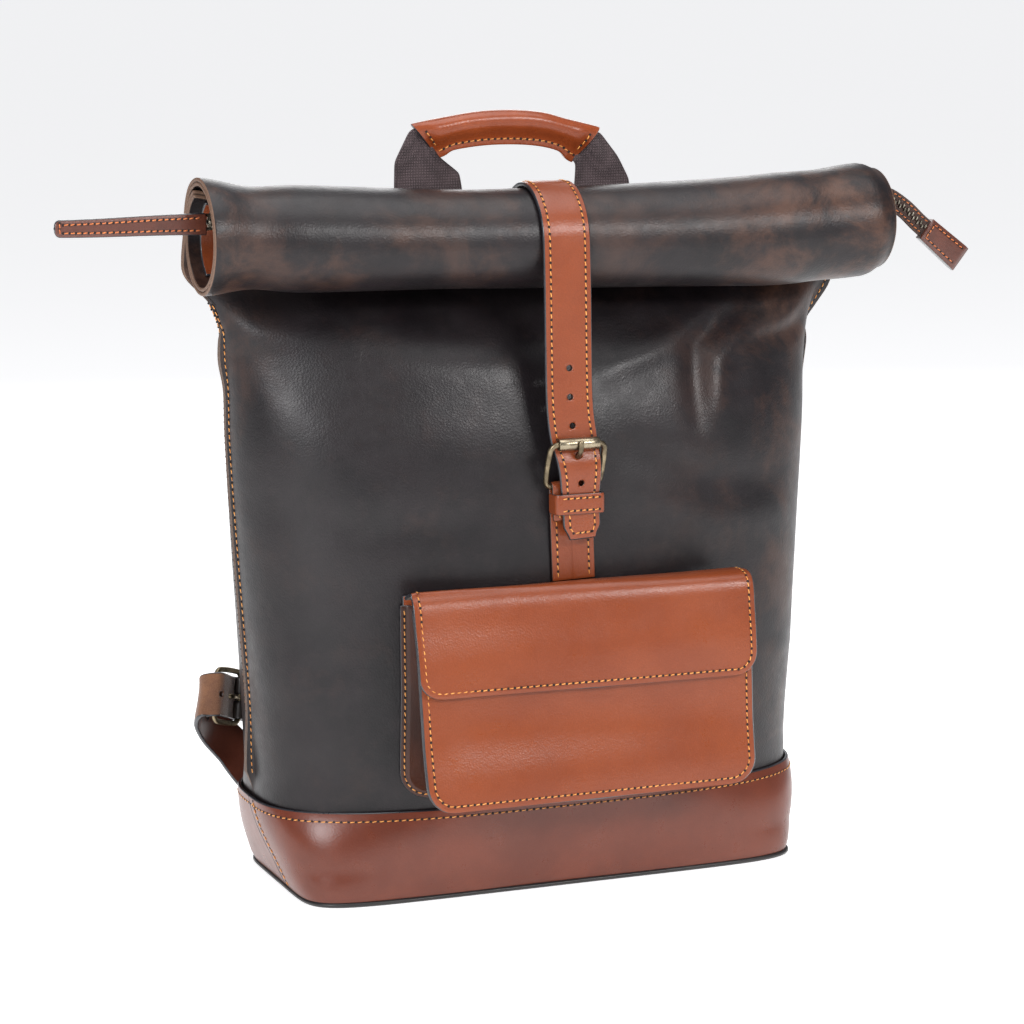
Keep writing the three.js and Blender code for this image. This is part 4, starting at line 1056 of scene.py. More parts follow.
middle_in = middle_out + [0, 0, 1.0]
top = [inner[-1] * 0.5 + outer[-1] * 0.5 + [0, 0, 0.3]]
rings = [middle_out + (outer[0] - middle_out) * 0.05, *outer, *top, *inner[::-1]]
rings += [middle_in + (inner[0] - middle_in) * 0.05]
for ring in (rings[0], rings[-1]):
    ring[:, 2] = ring[:, 2].mean()
lofted(Shape(), rings, LINING).make("lining_cloth", "bag", ("lining",), "lining")

# Carried over from the CAD model, with its own finish.
piece = bpy.data.objects["bottom_board"]
piece.data.materials.clear()
piece.data.materials.append(BOARD)

# ---------------------------------------------------------------- buckles


class Place:
    """A buckle's own frame: x along its bars, y from the heel bar to the outer bar, z to the prong's side."""

    def __init__(self, origin, along, up):
        self.origin = np.array(origin, float)
        self.y = unit(along)
        self.x = unit(np.cross(self.y, up))
        self.z = np.cross(self.x, self.y)

    def __call__(self, points):
        points = np.asarray(points, float)
        return self.origin + points[..., :1] * self.x + points[..., 1:2] * self.y + points[..., 2:3] * self.z

    def way(self, vector):
        return vector[0] * self.x + vector[1] * self.y + vector[2] * self.z


WIRE = 1.7
FRAME_REACH = 3.1


def buckle_frame(name, place, strap_width, length, body, node, bow=0.55, mirror=False):
    """A bent wire frame: bowed sides, wide rounded corners and a slimmer bar under the roller."""
    half = strap_width / 2 + FRAME_REACH
    corner = 4.2
    points = []
    for x, y, start in ((half - corner, length - corner, 0), (corner - half, length - corner, 90),
                        (corner - half, corner, 180), (half - corner, corner, 270)):
        for k in range(9):
            turn = math.radians(start + k * 90 / 8)
            points.append((x + corner * math.cos(turn), y + corner * math.sin(turn), 0))
    line = np.array(points + points[:1])
    line = resampled(line, 121)
    side = smooth(np.abs(line[:, 0]), half * 0.7, half)
    line[:, 0] += np.sign(line[:, 0]) * side * bow * np.sin(np.pi * np.clip(line[:, 1] / length, 0, 1))
    line = line[:-1]
    bars = smooth(np.abs(line[:, 0]), half * 0.5, half * 0.8)
    radius = mix(1.62, WIRE, bars)
    shape = Shape()
    rod(shape, place(line), radius, place.way((0, 0, 1)), BRASS, 14, closed=True)
    return shape.make(name, body, (node,), "antique_brass", mirror)


def buckle_roller(name, place, strap_width, length, body, node, mirror=False):
    half = strap_width / 2 + FRAME_REACH
    shape = Shape()
    base = place([0, length, 0])
    tube_wall(shape, base, place.way((1, 0, 0)), place.way((0, 1, 0)), 2.0, 3.6, 2 * half - 8, ROLLER, 32)
    return shape.make(name, body, (node,), "antique_brass", mirror)


def buckle_prong(name, place, length, body, node, mirror=False):
    """A flattened wire: an eye round the heel bar and a tongue that ends over the roller."""
    shape = Shape()
    turn = np.linspace(0, math.tau, 28, endpoint=False)
    eye = xyz(0.0, 2.75 * np.cos(turn), 2.75 * np.sin(turn))
    rod(shape, place(eye), 0.66, place.way((1, 0, 0)), BRASS, 10, flatten=1.9, closed=True)
    tongue = curve([(0, 2.7, -0.6), (0, 0.25 * length, -2.9), (0, 0.45 * length, -4.4),
                    (0, 0.56 * length, -4.2), (0, 0.65 * length, -1.4), (0, 0.74 * length, 2.2),
                    (0, 0.87 * length, 4.4),
                    (0, length, 4.9), (0, length + 4.2, 3.9)], 44)
    share = np.linspace(0, 1, 44)
    radius = mix(1.5, 1.6, smooth(share, 0.5, 0.8))
    rod(shape, place(tongue), radius, place.way((0, 0, 1)), BRASS, 14, flatten=0.72)
    return shape.make(name, body, (node,), "antique_brass", mirror)


def chape(name, place, width, back_length, front_length, body, node, slot, looks, mirror=False):
    """Leather folded round the heel bar, with a slot in the fold for the prong."""
    shape = Shape()
    middle, half_thick, slot_half, slot_long = 2.8, 0.8, 2.4, 6.0
    turns = np.radians(np.linspace(-90, 90, 25))
    line = [(y, -middle) for y in np.linspace(-back_length, -1, int(back_length / 1.5))]
    line += [(middle * math.cos(t), middle * math.sin(t)) for t in turns]
    line += [(y, middle) for y in np.linspace(-1, -front_length, int(front_length / 1.5))]
    path = np.array(line)
    way = -left_of(path)
    for hand in (-1, 1):
        rows_a, rows_b = [], []
        for p, w in zip(path, way):
            inner = slot_half * (1 - float(smooth(-p[0], slot_long - 1.2, slot_long)))
            x = np.concatenate([np.linspace(inner, width / 2 - 2.5, 5), [width / 2 - 0.8, width / 2]])
            drop = 0.25 * smooth(x, width / 2 - 2.5, width / 2)
            a = p + w * half_thick
            b = p - w * half_thick
            rows_a.append(xyz(hand * x, a[0] - w[0] * drop, a[1] - w[1] * drop))
            rows_b.append(xyz(hand * x, b[0], b[1]))
        slab(shape, place(rows_a), place(rows_b), looks, 0.25)
    return shape.make(name, body, (node,), slot, mirror)


# ---------------------------------------------------------------- closing strap


def strap_lean(z):
    """The strap hangs a little askew: how far it stands to the right at a height on the front."""
    return float(np.interp(z, (213, 233, 244, 261, 269, 278, 292, 330),
                           (3.4, 2.4, 2.0, 0.7, -0.8, -2.6, -4.0, -4.2)))


STRAP_TOP_X = STRAP_X - 4.2
strap_rise = [(STRAP_TOP_X, float(on_body(1, STRAP_TOP_X, z, 5.6)[0][1]), z) for z in (336, 346, 356, 366)]
strap_round = []
strap_drop = float(roll_sag(STRAP_TOP_X))
strap_radius = 34.35 + float(roll_loose(STRAP_TOP_X))
for angle in np.arange(22, 180.01, 15.8):
    turn = math.radians(angle)
    fade = float(smooth(angle, ROLL_START - 40, 40))
    strap_round.append((STRAP_TOP_X, ROLL_Y + strap_radius * math.cos(turn),
                        ROLL_Z + strap_drop * fade + strap_radius * math.sin(turn)))
strap_fall = [(STRAP_X + strap_lean(z), y, z) for y, z in (
    (-90.8, 362), (-91.2, 330), (-91.6, 300), (-91.9, 284), (-92.0, 272), (-92.9, 264), (-94.6, 257),
    (-94.7, 250), (-93.2, 243), (-92.4, 237), (-92.4, 227), (-92.4, 213))]
strap_path = curve(
    strap_rise + [(STRAP_TOP_X, -15.2, 378), (STRAP_TOP_X, -19.6, 386)] + strap_round + strap_fall, 320)
strap_share = np.linspace(0, 1, 320)
hanging_z = np.where(strap_share > 0.6, strap_path[:, 2], 400.0)
strap_width = 27.8 * mix(1, 0.78, smooth(-hanging_z, -276, -226))
strap_width = strap_width * mix(1, 0.72, smooth(-hanging_z, -221, -213.1))
closing = Ribbon(strap_path, (1, 0, 0), strap_width, 3.0)
closing.face(160, (0, 0, 1))


BELT_HOLE_RADIUS = 1.9


def bored(made, places, radius, axis, depth=8.0):
    """Cuts round holes through a piece. The cutter's own material becomes the wall of the hole."""
    cutter = Shape()
    for place in places:
        axis_way = unit(axis)
        hint = np.array([1.0, 0, 0]) if abs(axis_way[0]) < 0.9 else np.array([0, 0, 1.0])
        side = unit(np.cross(axis_way, hint))
        up = np.cross(side, axis_way)
        turn = circle(20)
        rings = [np.asarray(place) + axis_way * at + side * (np.cos(turn) * radius)[:, None]
                 + up * (np.sin(turn) * radius)[:, None] for at in (-depth, -depth / 3, depth / 3, depth)]
        lofted(cutter, rings, BROWN_EDGE)
    tool = cutter.make("hole_cutter", "bag")
    change = made.modifiers.new("holes", "BOOLEAN")
    change.object = tool
    change.operation = "DIFFERENCE"
    change.solver = "EXACT"
    change.material_mode = "TRANSFER"
    bpy.context.view_layer.update()
    graph = bpy.context.evaluated_depsgraph_get()
    final = bpy.data.meshes.new_from_object(made.evaluated_get(graph))
    made.modifiers.clear()
    made.data = final
    bpy.data.objects.remove(tool, do_unlink=True)
    return made


strap_piece = strapping(closing, TAN_SHEET, spaced(-1, 1, 9, 0.05),
                        np.linspace(0, 1, 260), 0.35).make(
    "closing_strap_leather", "bag", ("closing_strap",), "tan_leather")


def strap_at_height(z):
    """Share along the closing strap's hanging part at a height."""
    hanging = strap_path[:, 2][200:]
    return float(np.interp(-z, -hanging, strap_share[200:]))


STRAP_HOLES = (312.8, 296.0, 279.2, 262.0, 245.6)
bored(strap_piece, [closing.at(0, strap_at_height(z)) for z in STRAP_HOLES], BELT_HOLE_RADIUS, (0, 1, 0))

shape = Shape()
start_v, end_v = 0.004, strap_at_height(224)
for hand in (-1, 1):
    v = np.linspace(start_v, end_v, 700)
    edge = 1 - 2 * 3.1 / closing._of(closing.width, v)
    stitches(shape, [(closing.at(hand * edge, v, 1.42), closing.normal(v))], 4.1)
# The stitches follow the tapered tip and cross it.
v = np.linspace(end_v, strap_at_height(216.4), 60)
for hand in (-1, 1):
    edge = (closing._of(closing.width, v) / 2 - 3.1) / (closing._of(closing.width, v) / 2)
    stitches(shape, [(closing.at(hand * edge, v, 1.42), closing.normal(v))], 4.1)
across = closing.at(np.linspace(-0.56, 0.56, 20), strap_at_height(216.2), 1.42)
stitches(shape, [(across, TO_FRONT)], 3.6)
shape.make("closing_strap_stitches", "bag")

heel = np.array([STRAP_X - 0.6, -86.9, 243.0])
roller_place = np.array([STRAP_X - 0.6, -97.1, 269.0])
buckle_length = float(np.linalg.norm(roller_place - heel))
buckle_at = Place(heel, roller_place - heel, (0, -1, 0))
buckle_frame("closing_buckle_wire", buckle_at, CLOSING_WIDTH, buckle_length, "closing_buckle",
             "closing_buckle_frame", 0.7)
buckle_roller("closing_buckle_sleeve", buckle_at, CLOSING_WIDTH, buckle_length, "closing_roller",
              "closing_buckle_roller")
buckle_prong("closing_buckle_tongue", buckle_at, buckle_length, "closing_prong", "closing_buckle_prong")

chape_at = Place(heel, (-0.028, 0, 1), (0, -1, 0))
chape("closing_chape", chape_at, 26.4, 243 - 187.3, 243 - 224, "bag", "buckle_chape", "tan_leather",
      (TAN, TAN, BROWN_EDGE))
shape = Shape()
for hand in (-1, 1):
    line = np.linspace(chape_at([hand * 9.8, -(243 - 188.5), -2.0]),
                       chape_at([hand * 9.8, -8.0, -2.0]), 60)
    front = line.copy()
    front[:, 1] = heel[1] + 2.0 - 0.02
    stitches(shape, [(front[front[:, 2] < 223], TO_FRONT)], 4.1)
    upper = chape_at([[hand * 9.8, y, 3.6] for y in np.linspace(-18.2, -7, 20)])
    stitches(shape, [(upper, TO_FRONT)], 3.8)
line = chape_at([[x, -16.6, 3.6] for x in np.linspace(-9, 9, 20)])
stitches(shape, [(line, TO_FRONT)], 3.8)
shape.make("closing_chape_stitches", "bag")


def keeper_loop(name, place, half_in, y_span, z_span, wall, body, node, slot, looks, open_back=False,
                mirror=False):
    """A loop of leather round a strap, with rounded corners and a row of stitches along each edge."""
    corner = 2.4
    half, low, high = half_in + wall / 2, z_span[0] - wall / 2, z_span[1] + wall / 2
    turns = [math.radians(k * 15) for k in range(7)]
    points = []
    for cx, cz, start in ((-half + corner, high - corner, 180), (half - corner, high - corner, 90),
                          (half - corner, low + corner, 0), (-half + corner, low + corner, -90)):
        if open_back and cz < 0.5 * (low + high):
            continue
        for t in turns:
            turn = math.radians(start) - t
            points.append((cx + corner * math.cos(turn), cz + corner * math.sin(turn)))
    if open_back:
        points = [(-half, low), *points, (half, low)]
    else:
        points.append(points[0])
    line = resampled(np.array(points), 110)
    if open_back:
        along = unit(np.gradient(line, axis=0))
    else:
        line = line[:-1]
        along = unit(np.roll(line, -1, 0) - np.roll(line, 1, 0))
    way = np.stack([-along[:, 1], along[:, 0]], 1)
    y_low, y_high = y_span
    shape = Shape()
    if open_back:
        rows = spaced(y_low, y_high, 5, 0.7)
        crown = 0.3 * (smooth(rows, y_high - 1.5, y_high) + smooth(-rows, -y_low - 1.5, -y_low))
        a = [[(p[0] + w[0] * (wall / 2 - c), y, p[1] + w[1] * (wall / 2 - c)) for p, w in zip(line, way)]
             for y, c in zip(rows, crown)]
        b = [[(p[0] - w[0] * wall / 2, y, p[1] - w[1] * wall / 2) for p, w in zip(line, way)] for y in rows]
        slab(shape, place(a), place(b), looks, 0.25)
    else:
        middle = mix(y_low, y_high, 0.5)
        section = [(y_low, 0.75), (y_low - 0.3, 0.0), (y_low, -0.75), (y_low + 0.8, -1.0), (middle, -1.0),
                   (y_high - 0.8, -1.0), (y_high, -0.75), (y_high + 0.3, 0.0), (y_high, 0.75),
                   (y_high - 0.8, 1.0), (middle, 1.05), (y_low + 0.8, 1.0)]
        rings = [place([(p[0] + w[0] * s * wall / 2, y, p[1] + w[1] * s * wall / 2) for y, s in section])
                 for p, w in zip(line, way)]
        lofted(shape, rings, looks[0], closed=True)
    made = shape.make(name, body, (node,), slot, mirror)
    shape = Shape()
    for y in (y_low + 2.1, y_high - 2.1):
        spots = place([(x, y, high + wall / 2 - 0.05) for x in np.linspace(-half + 3, half - 3, 30)])
        stitches(shape, [(spots, place.way((0, 0, 1)))], 3.7)
    shape.make(name + "_stitches", body, mirror=mirror)
    return made


keeper_at = Place((STRAP_X + 1.4, 0, 0), (0, 0, 1), (0, -1, 0))
keeper_loop("strap_keeper_loop", keeper_at, 13.9, (227.6, 239), (85.4, 94.2), 1.7, "bag", "strap_keeper",
            "tan_leather", TAN_SHEET, open_back=True)

# ---------------------------------------------------------------- pocket


def pocket_outline(half, bottom, top, corner, step=2.0):
    """Points (x, z) and outward ways from the top left down, round the bottom and up."""

    def bend(x, start):
        for turn in np.radians(np.linspace(start, start + 90, 13)):
            c, s = math.cos(turn), math.sin(turn)
            yield x + corner * c, bottom + corner + corner * s, c, s

    points = [(-half, z, -1.0, 0.0) for z in np.arange(top, bottom + corner, -step)]
    points += bend(corner - half, 180)
    points += [(x, bottom, 0.0, -1.0) for x in np.linspace(corner - half, half - corner, 74)[1:-1]]
    points += bend(half - corner, 270)
    points += [(half, z, 1.0, 0.0) for z in np.arange(bottom + corner, top + 0.01, step)[1:]]
    return np.array(points)


GUSSET_THICK = 2.0


def pocket_front_y(x, z):
    """Y of the pocket front's outer face: it leans back towards its top, most at its left side."""
    x, z = np.asarray(x, float), np.asarray(z, float)
    up = np.clip((z - 64) / 114, 0, 1)
    lean = mix(17.5, 4.5, smooth(x, -110, 110)) * up
    lean = lean + 3.0 * smooth(z, 146, 180) ** 1.4
    flare = 2.8 * smooth(z, 106, 70)
    dent = 1.9 * bell(z, 112, 20) * smooth(102 - np.abs(x), 0, 30)
    dome = 1.0 * (1 - (x / 102) ** 2) * smooth(z, 64, 90)
    return -119.6 + lean - flare + dent - dome


HALF, BOTTOM_Z, TOP_Z, CORNER = 102.0, 64.0, 178.0, 15.0
outline = pocket_outline(HALF, BOTTOM_Z, TOP_Z, CORNER)
grid_outer, grid_inner = [], []
rows_z = spaced(BOTTOM_Z, TOP_Z, 34, 1.2)
for z in rows_z:
    below = max(BOTTOM_Z + CORNER - z, 0.0)
    half = HALF - (CORNER - math.sqrt(max(CORNER**2 - below**2, 0.0)))
    x = spaced(-half, half, 46, 1.2)
    y = pocket_front_y(x, z)
    edge = 0.5 * (smooth(np.abs(x), half - 1.6, half) + smooth(-z, -BOTTOM_Z - 1.6, -BOTTOM_Z))
    y = y + 0.6 * np.minimum(edge, 1) + 0.25 * wander(x, z, 16, 31)
    grid_outer.append(xyz(x + POCKET_X, y, z))
    grid_inner.append(xyz(x + POCKET_X, y + 3.6, z))
slab(Shape(), grid_outer, grid_inner, TAN_SHEET, 0.32).make(
    "pocket_front_leather", "bag", ("pocket_front",), "tan_leather")

shape = Shape()
stitch_line = pocket_outline(HALF - 3.6, BOTTOM_Z + 3.6, TOP_Z - 3, CORNER - 3)
line = xyz(stitch_line[:, 0] + POCKET_X, pocket_front_y(stitch_line[:, 0], stitch_line[:, 1]) - 0.05,
           stitch_line[:, 1])
stitches(shape, [(line, TO_FRONT)])
shape.make("pocket_front_stitches", "bag")

rows_a, rows_b, flange_line = [], [], []
for x, z, ox, oz in outline:
    def rear(outwards):
        return float(on_body(-1, x + POCKET_X + ox * outwards, z + oz * outwards, 0.9)[0][1])

    front_y = float(pocket_front_y(x, z)) + 3.6 + 0.35
    wall_back = rear(0)
    # From the flange's edge, over the fold, forward along the wall to the pocket front.
    sway = 0.8 * math.sin(x / 14 + z / 11)
    profile = [(1.4, rear(1.4) - 2.0), (0.9, rear(0.9) - 2.1), (-0.3, rear(-0.3) - 2.15),
               (-1.6, rear(-1.6) - 2.3),
               (-2.7, wall_back - 3.0), (-3.3 + 0.1 * sway, wall_back - 5.0)]
    for share in (0.3, 0.5, 0.7, 0.85):
        profile.append((mix(-3.4, 0.0, share) - 5.0 * math.sin(math.pi * share) ** 1.3 + 0.25 * sway,
                        mix(wall_back - 3, front_y, share)))
    profile += [(0.0, front_y + 1.2), (0.0, front_y + 0.45), (0.0, front_y)]
    outside = np.array(profile)
    inside = outside - left_of(outside) * GUSSET_THICK
    for rows, face in ((rows_a, outside), (rows_b, inside)):
        rows.append([(x + POCKET_X + ox * p, y, z + oz * p) for p, y in face])
    flange_line.append((x + POCKET_X - ox * 0.6, rear(-0.6) - 2.25, z - oz * 0.6))
# The gusset wears the darker copy of the tan leather: painted shade.
slab(Shape(), rows_a, rows_b, (SHADED_GUSSET, FLESH, BLACK_EDGE), 0.3).make(
    "pocket_gusset_leather", "bag", ("pocket_gusset",), "tan_leather")
stitches(Shape(), [(flange_line[1:-1], TO_FRONT)]).make("pocket_gusset_stitches", "bag")

# The strip above the pocket that the flap is sewn to.
rows_a, rows_b = [], []
for z in spaced(176.0, 183.6, 3, 0.6):
    x = spaced(-101.5, 101.5, 40, 0.8) + POCKET_X
    rows_a.append(on_body(-1, x, z, 2.6)[0])
    rows_b.append(on_body(-1, x, z, 0.9)[0])
slab(Shape(), rows_a, rows_b, TAN_SHEET, 0.3).make(
    "flap_strip_leather", "bag", ("flap_strip",), "tan_leather")
shape = Shape()
for z in (178.2, 181.8):
    line, normals = on_body(-1, np.linspace(-98, 98, 150) + POCKET_X, z, 2.62)
    stitches(shape, [(line, normals)])
shape.make("flap_strip_stitches", "bag")


# The flap: over the top of the pocket and down its front, with rounded lower corners.
FLAP_HALF = 103.5
FLAP_GAP = 2.6


def flap_line(x):
    """The middle of the flap's leather at an x from the pocket's middle, from its seam to its lower edge."""

    def over(z):
        return float(pocket_front_y(x, z)) - FLAP_GAP

    top = over(176)
    points = [(0, -87.4, 184.4), (0, -93, 186.9), (0, mix(-93, top, 0.55), 187.9), (0, top + 3.4, 186.2),
              (0, over(178) - 0.1, 180.2), (0, over(168) - 0.3, 168), (0, over(150) - 0.2, 150),
              (0, over(129) - 0.5, 129)]
    return curve(points, 160)


class Flap:
    """The flap as one surface: u from -1 to 1 across and v from 0 at its seam to 1 at its lower edge."""

    def __init__(self):
        self.lines = np.array([flap_line(x) for x in np.linspace(-FLAP_HALF, FLAP_HALF, 41)])
        self.share = np.linspace(0, 1, 160)

    def at(self, u, v, out=0.0):
        u, v = np.broadcast_arrays(np.asarray(u, float), np.asarray(v, float))
        out = np.broadcast_to(np.asarray(out, float), u.shape)
        place = (np.clip(u, -1, 1) + 1) / 2 * 40
        low = np.clip(place.astype(int), 0, 39)
        part = place - low
        column = np.arange(v.size).reshape(v.shape)
        y, z = (np.array([np.interp(v.ravel(), self.share, line[:, axis]) for line in self.lines])
                for axis in (1, 2))
        y, z = (mix(table[low, column], table[low + 1, column], part) for table in (y, z))
        return xyz(u * FLAP_HALF + POCKET_X, y, z) + self.normal(v) * out[..., None]

    def normal(self, v):
        v = np.asarray(v, float)
        middle = self.lines[20]
        along = unit(np.gradient(middle, axis=0))
        up = xyz(0.0, along[:, 2], -along[:, 1])
        if up[120, 1] > 0:
            up = -up
        return looked_up(v, self.share, up)


flap = Flap()
flap_length = length_of(flap.lines[20])
v = spaced(0, 1, 62, 0.006)
left_up = (1 - v) * flap_length
corner = 13.0
cut_in = np.where(left_up < corner, corner - np.sqrt(np.maximum(corner**2 - (corner - left_up) ** 2, 0)), 0)
rows_a, rows_b = [], []
for k, share in enumerate(v):
    half = FLAP_HALF - cut_in[k]
    u = spaced(-half, half, 56, 1.2) / FLAP_HALF
    sag = 0.3 * wander(u * 104, share * 60, 20, 41)
    crown = 0.35 * smooth(np.abs(u * FLAP_HALF), half - 2.2, half) + 0.35 * float(smooth(share, 0.985, 1))
    rows_a.append(flap.at(u, share, 1.2 + sag - crown))
    rows_b.append(flap.at(u, share, -1.2 + sag))
slab(Shape(), rows_a, rows_b, TAN_SHEET, 0.32).make(
    "pocket_flap_leather", "pocket_flap", ("pocket_flap",), "tan_leather")
shape = Shape()
inset = 3.4
turns = np.linspace(0, math.pi / 2, 12)
for hand in (-1, 1):
    across = [FLAP_HALF - inset] * 80
    up = list(np.linspace(flap_length - 10, corner, 80))
    for t in turns:
        across.append(FLAP_HALF - corner + (corner - inset) * math.cos(t))
        up.append(corner - (corner - inset) * math.sin(t))
    across += list(np.linspace(FLAP_HALF - corner, 0.0, 40))
    up += [inset] * 40
    across, up = np.array(across), np.array(up)
    share = 1 - up / flap_length
    stitches(shape, [(flap.at(hand * across / FLAP_HALF, share, 1.26), flap.normal(share))])
shape.make("pocket_flap_stitches", "pocket_flap")


MAGNET_Z, MAGNET_RADIUS = 142, 8


def disc(name, y, thick, body, node):
    """A round magnet with eased edges, its axis along y."""
    turn = circle(40)
    profile = ((0.3, 0.0), (MAGNET_RADIUS - 0.8, 0.0), (MAGNET_RADIUS - 0.25, 0.15), (MAGNET_RADIUS, 0.4),
               (MAGNET_RADIUS, thick - 0.3), (MAGNET_RADIUS - 0.3, thick), (0.3, thick))
    rings = [xyz(POCKET_X + r * np.cos(turn), y + drop, MAGNET_Z + r * np.sin(turn)) for r, drop in profile]
    lofted(Shape(), rings, MAGNET).make(name, body, (node,), "magnet")


magnet_front = float(pocket_front_y(0, MAGNET_Z))
disc("pocket_magnet_disc", magnet_front + 3.75, 1.8, "bag", "pocket_magnet")
disc("flap_magnet_disc", magnet_front - 1.35, 0.9, "pocket_flap", "flap_magnet")

# ---------------------------------------------------------------- carry handle

HANDLE_LEAN = math.radians(7)


def in_handle(points):
    """From the handle's own plane (x, height, depth towards the front) to the bag."""
    p = np.asarray(points, float)
    y, z = -p[..., 2], p[..., 1]
    c, s = math.cos(HANDLE_LEAN), math.sin(HANDLE_LEAN)
    return np.stack([p[..., 0], y * c - z * s - 5, y * s + z * c + 366], -1)


def webbing_leg(shape, left, right, seed):
    """Ribbed webbing between two edge lines that run from the foot up to the grip."""
    rows, cols = 46, 129
    a, b = resampled(np.array(left, float), rows), resampled(np.array(right, float), rows)
    a, b = blurred(a, 1.6, 1.8), blurred(b, 1.6, 1.8)
    share = np.concatenate([[0, 0.004], np.linspace(0.012, 0.988, cols - 4), [0.996, 1]])
    outer, inner = [], []
    for k in range(rows):
        up = k / (rows - 1)
        line = a[k] + (b[k] - a[k]) * share[:, None]
        width = np.linalg.norm(b[k] - a[k])
        rib = 0.3 * np.cos(share * 28 * math.tau) * (0.4 + 0.6 * min(width / 38, 1))
        selvedge = 0.35 * smooth(np.abs(share - 0.5), 0.46, 0.485)
        bend = 0.5 * wander(share * 40, up * 80, 30, seed)
        bend = bend + 1.2 * float(smooth(up, 0.55, 0.95)) * np.cos(share * math.pi * 3)
        outer.append(at_level(line, bend + (1.05 + rib - selvedge)))
        inner.append(at_level(line, bend - (1.05 + rib - selvedge)))
    slab(shape, in_handle(outer), in_handle(inner), (WEBBING, WEBBING, WEBBING), 0.25)


shape = Shape()
webbing_leg(shape, [(-78, 0.8), (-79, 64), (-70.5, 82.4), (-66, 84)],
            [(-37, 0.8), (-37, 46), (-39, 56.5), (-52, 66.8)], 51)
webbing_leg(shape, [(35, 0.8), (35, 55), (34.8, 60.6), (33, 62)],
            [(70, 0.8), (70, 49), (62, 63.5), (50.4, 77.8), (45, 79)], 52)
shape.make("handle_webbing_legs", "handle", ("handle_webbing",), "webbing")

grip_line = curve([(-61, 76, 0), (-40, 81, 0), (-14, 83, 0), (15, 80.5, 0), (41, 71, 0)], 90)


def grip_half_thick(h):
    """Half the grip's thickness at a height above its middle line: a padded top over a flat sewn edge."""
    h = np.asarray(h, float)
    round_top = np.sqrt(np.maximum(5.9**2 - np.maximum(h - 4.35, 0) ** 2, 0.0))
    body = mix(1.75, 5.9, smooth(h, -6.8, 2.5))
    return np.where(h > 4.35, round_top, np.minimum(body, 5.9))


GRIP_SEAM = -6.6
heights = np.concatenate([[-10.25, -10.1, -9.6], np.linspace(-8.8, 4.35, 15),
                          4.35 + 5.9 * np.sin(np.radians(np.linspace(12, 90, 9)))])
section = [(h, float(grip_half_thick(h)) - (0.5 if h < -10.2 else 0.15 if h < -10 else 0)) for h in heights]
profile = np.array([(h, t) for h, t in section] + [(h, -t) for h, t in section[-2::-1]])
rings = []
grip_share = np.linspace(0, 1, len(grip_line))
from_end = np.minimum(grip_share, 1 - grip_share)
# The ends are cut at a slant and pressed flatter.
grip_slant = -0.85 * (1 - smooth(grip_share, 0, 0.2)) + 0.85 * smooth(grip_share, 0.8, 1)
grip_flat = mix(0.62, 1.0, smooth(from_end, 0.0, 0.09))
grip_puff = 1 + 0.03 * np.sin(grip_share * 19) * smooth(from_end, 0.05, 0.2)
for p, slant, flat, puff in zip(grip_line, grip_slant, grip_flat, grip_puff):
    h, t = profile[:, 0], profile[:, 1] * flat * puff
    rings.append(in_handle(xyz(p[0] + slant * h, p[1] + h, t)))
shape = Shape()
lofted(shape, rings, GRIP, caps=False)
# The cut ends are painted black and slightly rounded.
for ring, way in ((rings[0], -1), (rings[-1], 1)):
    middle = ring.mean(0)
    step = np.array([way, 0.0, 0.0])
    cap = [ring, ring + (middle - ring) * 0.06 + step * 0.5, ring + (middle - ring) * 0.3 + step * 0.75,
           ring + (middle - ring) * 0.85 + step * 0.8]
    points = np.concatenate(cap + [[middle + step * 0.8]])
    n = len(ring)
    faces = bands(3, n)
    faces += [(3 * n + i, 3 * n + (i + 1) % n, 4 * n) for i in range(n)]
    if way < 0:
        faces = [f[::-1] for f in faces]
    shape.add(points, faces, BLACK_EDGE)
grip = shape.make("handle_grip_leather", "handle", ("handle_grip",), "grip_leather")

shape = Shape()
for front in (1, -1):
    line = xyz(grip_line[:, 0] + grip_slant * GRIP_SEAM, grip_line[:, 1] + GRIP_SEAM,
               front * float(grip_half_thick(GRIP_SEAM)) * grip_flat)
    line = in_handle(line)[2:-2]
    stitches(shape, [(line, in_handle((0, 0, front)) - in_handle((0, 0, 0)))])
    # Up the slanted ends.
    for k, hand in ((3, -1), (-4, 1)):
        p = grip_line[k]
        hs = np.linspace(-4, 5.5, 12)
        t = grip_half_thick(hs) * 0.8
        points = in_handle(xyz(p[0] + hand * 0.8 * hs, p[1] + hs, front * (t + 0.1)))
        stitches(shape, [(points, in_handle((0, 0.2, front)) - in_handle((0, 0, 0)))], 3.8)
shape.make("handle_grip_stitches", "handle")

# ---------------------------------------------------------------- back: yoke and anchors


